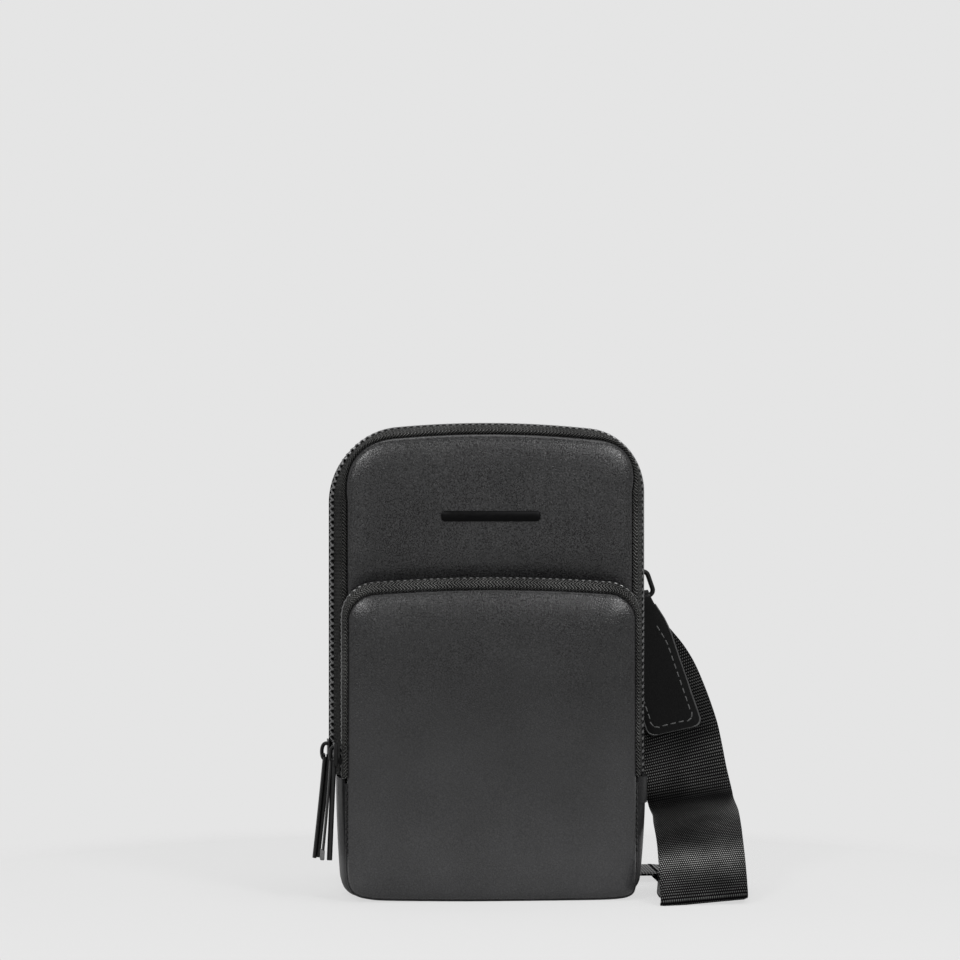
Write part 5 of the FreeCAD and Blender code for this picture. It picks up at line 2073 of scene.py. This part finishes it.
    def slab(self, corners: Sequence[Pair], low: float, along_y: bool) -> Shape:
        """Flat piece of webbing on one layer.

        Args:
            corners: its corners on the ground plan.
            low: height of its underside.
            along_y: whether the webbing runs along y.

        Returns:
            The piece.
        """
        count = len(corners)
        high = low + self.thick
        vertices = [(x, y, low) for x, y in corners] + [(x, y, high) for x, y in corners]
        faces = [tuple(range(count))[::-1], tuple(range(count, 2 * count))]
        faces += [(k, (k + 1) % count, (k + 1) % count + count, k + count) for k in range(count)]
        return Shape(vertices, faces, [
            [(vertices[k][1], vertices[k][0]) if along_y else vertices[k][:2] for k in face] for face in faces
        ])

    def hank(self) -> None:
        """Webbing that turns the corner and is folded to and fro behind the pouch."""

        def sway(run: int) -> float:
            """How far one run of the folds lies to the side."""
            return 0.9 * math.sin(run * 2.3)

        front, back = self.hank_front, self.hank_front + self.width
        near = self.floor_x + self.floor_shift - self.width / 2
        far = near + self.width
        corner = self.diagonal(
            [(near, front - 2.0), (far, front - 2.0), (far, front), (near, back)],
            [(near, front), (far, front), (near, back)], [(near, back), (far, front)], 0,
        )
        turn = corner.piece("strap_corner_webbing", Finish.WEBBING, 50.0)
        settle(turn, "rear_shell", ["strap_floor_run"])
        middle_y = (front + back) / 2
        path: List[Point] = []
        last = self.landing_x - self.width / 2
        for run in range(1, self.runs + 1):
            z = run * self.layer + self.thick / 2
            ends = (near + 1.0 if run == 1 else self.hank_half + sway(run), -self.hank_half + sway(run))
            if run % 2 == 0:
                ends = (-self.hank_half + sway(run - 1), self.hank_half + sway(run + 1))
            if run == self.runs:
                ends = (ends[0], last + 1.0)
            steps = np.linspace(ends[0], ends[1], 14)
            path += [(x, middle_y + 0.5 * math.sin(run * 1.7), z) for x in steps]
            if run < self.runs:
                way = 1.0 if ends[1] > ends[0] else -1.0
                for angle in np.linspace(0.0, math.pi, 8)[1:-1]:
                    path.append((ends[1] + way * self.layer / 2 * math.sin(angle), middle_y,
                                 z + self.layer / 2 * (1 - math.cos(angle))))
        line = np.array(path)
        stack = ribbon(line, np.array([0.0, self.width, 0.0]), self.thick, 10)
        right = last + self.width
        pile = self.diagonal(
            [(right, front), (right, back), (last, front)],
            [(last, front), (right, back), (right, self.foot_y()), (last, self.foot_y())],
            [(right, back), (last, front)], self.runs,
        )
        piece = stack.piece("strap_hank_webbing", Finish.WEBBING, 70.0)
        settle(piece, "rear_shell", ["strap_hank"])
        self.declare(line)
        top = pile.piece("strap_hank_turn", Finish.WEBBING, 50.0)
        settle(top, "rear_shell")

    def foot_y(self) -> float:
        """Depth at which the webbing leaves the folds and bends upwards."""
        return self.left.depth + self.wrap + self.landing_radius

    def left_side(self) -> None:
        """Webbing from the folds up through the adjuster and round the square ring."""
        foot = (self.runs + 1) * self.layer + self.thick / 2
        lean = math.radians(self.left.lean_deg)
        wide = self.left.direction((1.0, 0.0, 0.0))
        centre = self.left.place((0.0, 0.0, 0.0))
        straight = (centre[2] - foot - self.landing_radius) / math.cos(lean)
        top = self.left.place((0.0, self.wrap, -straight))
        centres, widths = [], []
        for k in range(7):
            share = k / 7
            angle = math.pi / 2 * share
            centres.append(np.array([
                self.landing_x + (top[0] - self.landing_x) * share,
                self.foot_y() - self.landing_radius * math.sin(angle),
                foot + self.landing_radius * (1 - math.cos(angle)),
            ]))
            widths.append(unit(np.array([1.0, 0.0, 0.0]) * (1 - share) + wide * share) * self.width)
        for down in np.linspace(straight, 49.0, 5):
            centres.append(self.left.place((0.0, self.wrap, -down)))
            widths.append(wide * self.width)
        rows = ease_rows(np.concatenate([np.array(centres), np.array(widths)], axis=1), 5)
        bend = self.left.place([(0.0, y, up) for y, up in bow((0.0, -47.0), self.wrap, 0.0, 180.0, 13)])
        tail = self.left.place([(0.0, -self.wrap, up) for up in (-49.0, -53.0, -57.0, -60.5)])
        middle = np.concatenate([rows[:, :3], bend, tail])
        cross = np.concatenate([rows[:, 3:], np.tile(wide * self.width, (len(bend) + len(tail), 1))])
        piece = ribbon(middle, cross, self.thick, 12).piece("strap_left_webbing", Finish.WEBBING, 70.0)
        settle(piece, Bend.STRAP_LEFT, ["strap_riser", "strap_return"])
        self.declare(middle)

    def adjuster(self) -> None:
        """Adjuster with the sewn end of the webbing round its middle bar."""
        inner, play, cloth, bar = 1.51, 0.3, 1.6, 0.9
        mid_y, bar_y = inner - play - cloth - bar, inner + cloth + play + bar
        half, low, high = 18.0, -81.0, -63.0
        middle = (low + high) / 2
        made = Shape([], [])
        for side in (-1.0, 1.0):
            rail = rounded_box((2.0, bar_y + bar - (mid_y - bar), high - low), 0.6)
            made.add(rail.at(side * (half + 1.0), (bar_y + mid_y) / 2, middle))
        for y, up, radius in ((bar_y, low + bar, bar), (bar_y, high - bar, bar), (mid_y, middle, 0.88)):
            made.add(tube(np.array([(x, y, up) for x in np.linspace(-half - 0.5, half + 0.5, 5)]), radius, False))
        settle(made.moved(self.left.place).piece("strap_adjuster_frame", Finish.HARDWARE, 50.0), "strap_adjuster",
               ["strap_adjuster"])
        turn, ends = 1.7, (-61.2, -64.0, -68.0, -71.0)
        line = np.array([(0.0, mid_y + turn, up) for up in ends]
                        + [(0.0, y, up) for y, up in bow((mid_y, middle), turn, 0.0, -180.0, 9)]
                        + [(0.0, mid_y - turn, up) for up in ends[::-1]])
        points = self.left.place(line)
        wide = self.left.direction((self.width, 0.0, 0.0))
        piece = ribbon(points, wide, self.thick, 10).piece("adjuster_fold_webbing", Finish.WEBBING, 70.0)
        settle(piece, "strap_adjuster", ["adjuster_fold"])
        self.declare(points)

    def tie(self) -> None:
        """Elastic tie round the folds."""
        front, back = self.hank_front - 0.75, self.hank_front + self.width + 0.75
        low, high = 1.3, self.runs * self.layer + self.thick + 0.75
        loop = rounded_loop(back - front, high - low, 0.9, 4)
        centres = np.stack([
            np.full(len(loop), 32.0), loop[:, 0] + (front + back) / 2, loop[:, 1] + (low + high) / 2], axis=1)
        centres = np.concatenate([centres, centres[:1]])
        wide = np.array([10.0, 0.0, 0.0])
        ways = travel(centres)
        ways[0] = ways[-1] = unit(centres[1] - centres[-2])
        made = ribbon(centres, wide, 0.8, 6, unit(np.cross(wide, ways)))
        band = settle(made.piece("strap_tie_band", Finish.TIE, 70.0), "rear_shell", ["strap_tie"])
        float(lengths(centres)[-1])

    def build(self) -> None:
        """Make every piece of the webbing."""
        self.right_side()
        self.hank()
        self.left_side()
        self.adjuster()
        self.tie()


# ---- studio


@dataclass
class Studio:
    """Pale floor, soft lights and the camera."""

    pale: float = 0.783
    light: float = 0.52
    veil: float = 0.8
    fade: Pair = (0.10, 0.30)
    focal_px: float = 3546.0
    frame_px: float = 960.0
    sensor_mm: float = 36.0
    eye: Point = (-0.1010, -1.3964, 0.164)
    yaw_deg: float = -4.0

    def camera(self) -> None:
        """Camera at the photograph's angle."""
        lens = bpy.data.cameras.new("camera")
        lens.sensor_width = self.sensor_mm
        lens.lens = self.focal_px / self.frame_px * self.sensor_mm
        lens.clip_start = 0.05
        lens.clip_end = 50.0
        eye = link("camera", lens)
        eye.location = self.eye
        eye.rotation_euler = (math.radians(90.0), 0.0, math.radians(self.yaw_deg))
        bpy.context.scene.camera = eye

    def lamp(
        self, name: str, place: Sequence[float], aim: Sequence[float], size: Pair, watts: float
    ) -> None:
        """Soft rectangular lamp.

        Args:
            name: name of the lamp.
            place: its place in metres.
            aim: point that it faces.
            size: width and height.
            watts: power.
        """
        data = bpy.data.lights.new(name, "AREA")
        data.shape = "RECTANGLE"
        data.size, data.size_y = size
        data.energy = watts
        thing = link(name, data)
        thing.location = place
        thing.rotation_euler = (Vector(aim) - Vector(place)).to_track_quat("-Z", "Y").to_euler()

    def world(self) -> None:
        """Pale surroundings: bright to the eye and in reflections, softer as light."""
        world = bpy.data.worlds.new("surroundings")
        bpy.context.scene.world = world
        world.use_nodes = True
        tree = world.node_tree
        tree.nodes.clear()
        output, seen, lit, mix, path, first, second = (tree.nodes.new(f"ShaderNode{kind}") for kind in (
            "OutputWorld", "Background", "Background", "MixShader", "LightPath", "Math", "Math"))
        first.operation = second.operation = "MAXIMUM"
        for node, strength in ((seen, 1.0), (lit, self.light)):
            node.inputs[0].default_value = (self.pale, self.pale, self.pale, 1.0)
            node.inputs[1].default_value = strength
        for start, end in (
            (path.outputs["Is Camera Ray"], first.inputs[0]), (path.outputs["Is Glossy Ray"], first.inputs[1]),
            (first.outputs[0], second.inputs[0]), (path.outputs["Is Transmission Ray"], second.inputs[1]),
            (second.outputs[0], mix.inputs[0]), (lit.outputs[0], mix.inputs[1]), (seen.outputs[0], mix.inputs[2]),
            (mix.outputs[0], output.inputs[0]),
        ):
            tree.links.new(start, end)

    def floor(self) -> None:
        """Round pale floor that fades into the surroundings."""
        made = bmesh.new()
        bmesh.ops.create_circle(made, cap_ends=True, segments=96, radius=1.2)
        mesh = bpy.data.meshes.new("floor")
        made.to_mesh(mesh)
        made.free()
        bench = NodeBench("pale floor")
        bench.set("Base Color", (self.pale, self.pale, self.pale, 1.0))
        bench.set("Roughness", 0.9)
        bench.set("Specular IOR Level", 0.1)
        away = bench.node("VectorMath", {0: bench.node("TexCoord").outputs["Object"]}, operation="LENGTH")
        fade = bench.remap(away.outputs["Value"], self.fade, (0.0, 1.0), interpolation_type="SMOOTHSTEP")
        faint = bench.math("MULTIPLY", bench.node("LightPath").outputs["Is Camera Ray"], self.veil)
        mix = bench.node("MixShader", {
            0: bench.math("MAXIMUM", fade, faint), 1: bench.shader.outputs[0],
            2: bench.node("BsdfTransparent").outputs[0],
        })
        bench.feed(bench.output.inputs["Surface"], mix.outputs[0])
        mesh.materials.append(bench.material)
        link("floor", mesh)

    def build(self) -> None:
        """Set up the view, the lights and the floor."""
        bpy.context.scene.view_settings.view_transform = "Standard"
        self.camera()
        self.world()
        self.floor()
        self.lamp("key", (-0.54, -1.02, 0.76), (0.0, 0.0, 0.10), (0.26, 0.26), 6.2)
        self.lamp("fill", (0.56, -1.0, 0.74), (0.0, 0.0, 0.10), (0.26, 0.26), 6.6)
        self.lamp("top", (0.03, 0.03, 1.0), (0.0, 0.0, 0.05), (0.9, 0.3), 2.8)


# ---- everything


def write_sizes() -> None:
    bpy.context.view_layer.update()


def main() -> None:
    """Build the studio and every sub-assembly of the pouch."""
    logging.basicConfig(level=logging.INFO, format="%(message)s")
    Studio().build()
    main_outline = Outline(125.0, 185.5, 390.0, 29.0, 24.0)
    pocket_outline = Outline(118.4, 126.2, 600.0, 14.0, 14.0)
    main_seam = Seam(side=6.2, top=3.2, base=4.5, corner=1.7)
    pocket_seam = Seam(side=2.7, top=4.4, base=5.2)
    back_seam = Seam(side=4.2, top=4.2, base=4.2)
    Shell(main_outline, pocket_outline, main_seam, pocket_seam, back_seam).build()
    Zip("main", main_outline, main_seam, 6.0, -9.6, 22.6, back_seam, tape_top=-0.4).build()
    Zip(
        "pocket", pocket_outline, pocket_seam, -15.0, -21.4, -10.0, Seam(3.0, 3.0, 3.0), lean_left=4.0, lean_right=4.0,
        lip=0.3, sink=0.35, sink_side=0.3, split=POCKET_SPLIT,
    ).build()
    main_leaves = ((0.6, 40.6, 1.5, -0.6, 0.6), (0.6, 40.2, 1.5, -2.1, 0.7))
    pocket_leaves = ((0.6, 39.2, 2.0, -0.3, -0.3), (0.6, 39.0, 1.0, 1.0, 1.3))
    ZipPull("main", 62.5, 6.0, (-65.0, 6.0, 55.3), 5.0, main_leaves, 4.0).build()
    ZipPull(
        "pocket", 59.2, -15.0, (-61.7, -15.0, 55.3), 3.0, pocket_leaves, 3.0, bail=1.4, plate=1.5, stand=0.9,
        tipped=True,
    ).build()
    right, left = RingFrame(1), RingFrame(-1)
    StrapEnds(right, left).build()
    Webbing(right, left).build()
    write_sizes()


if __name__ == "__main__":
    main()
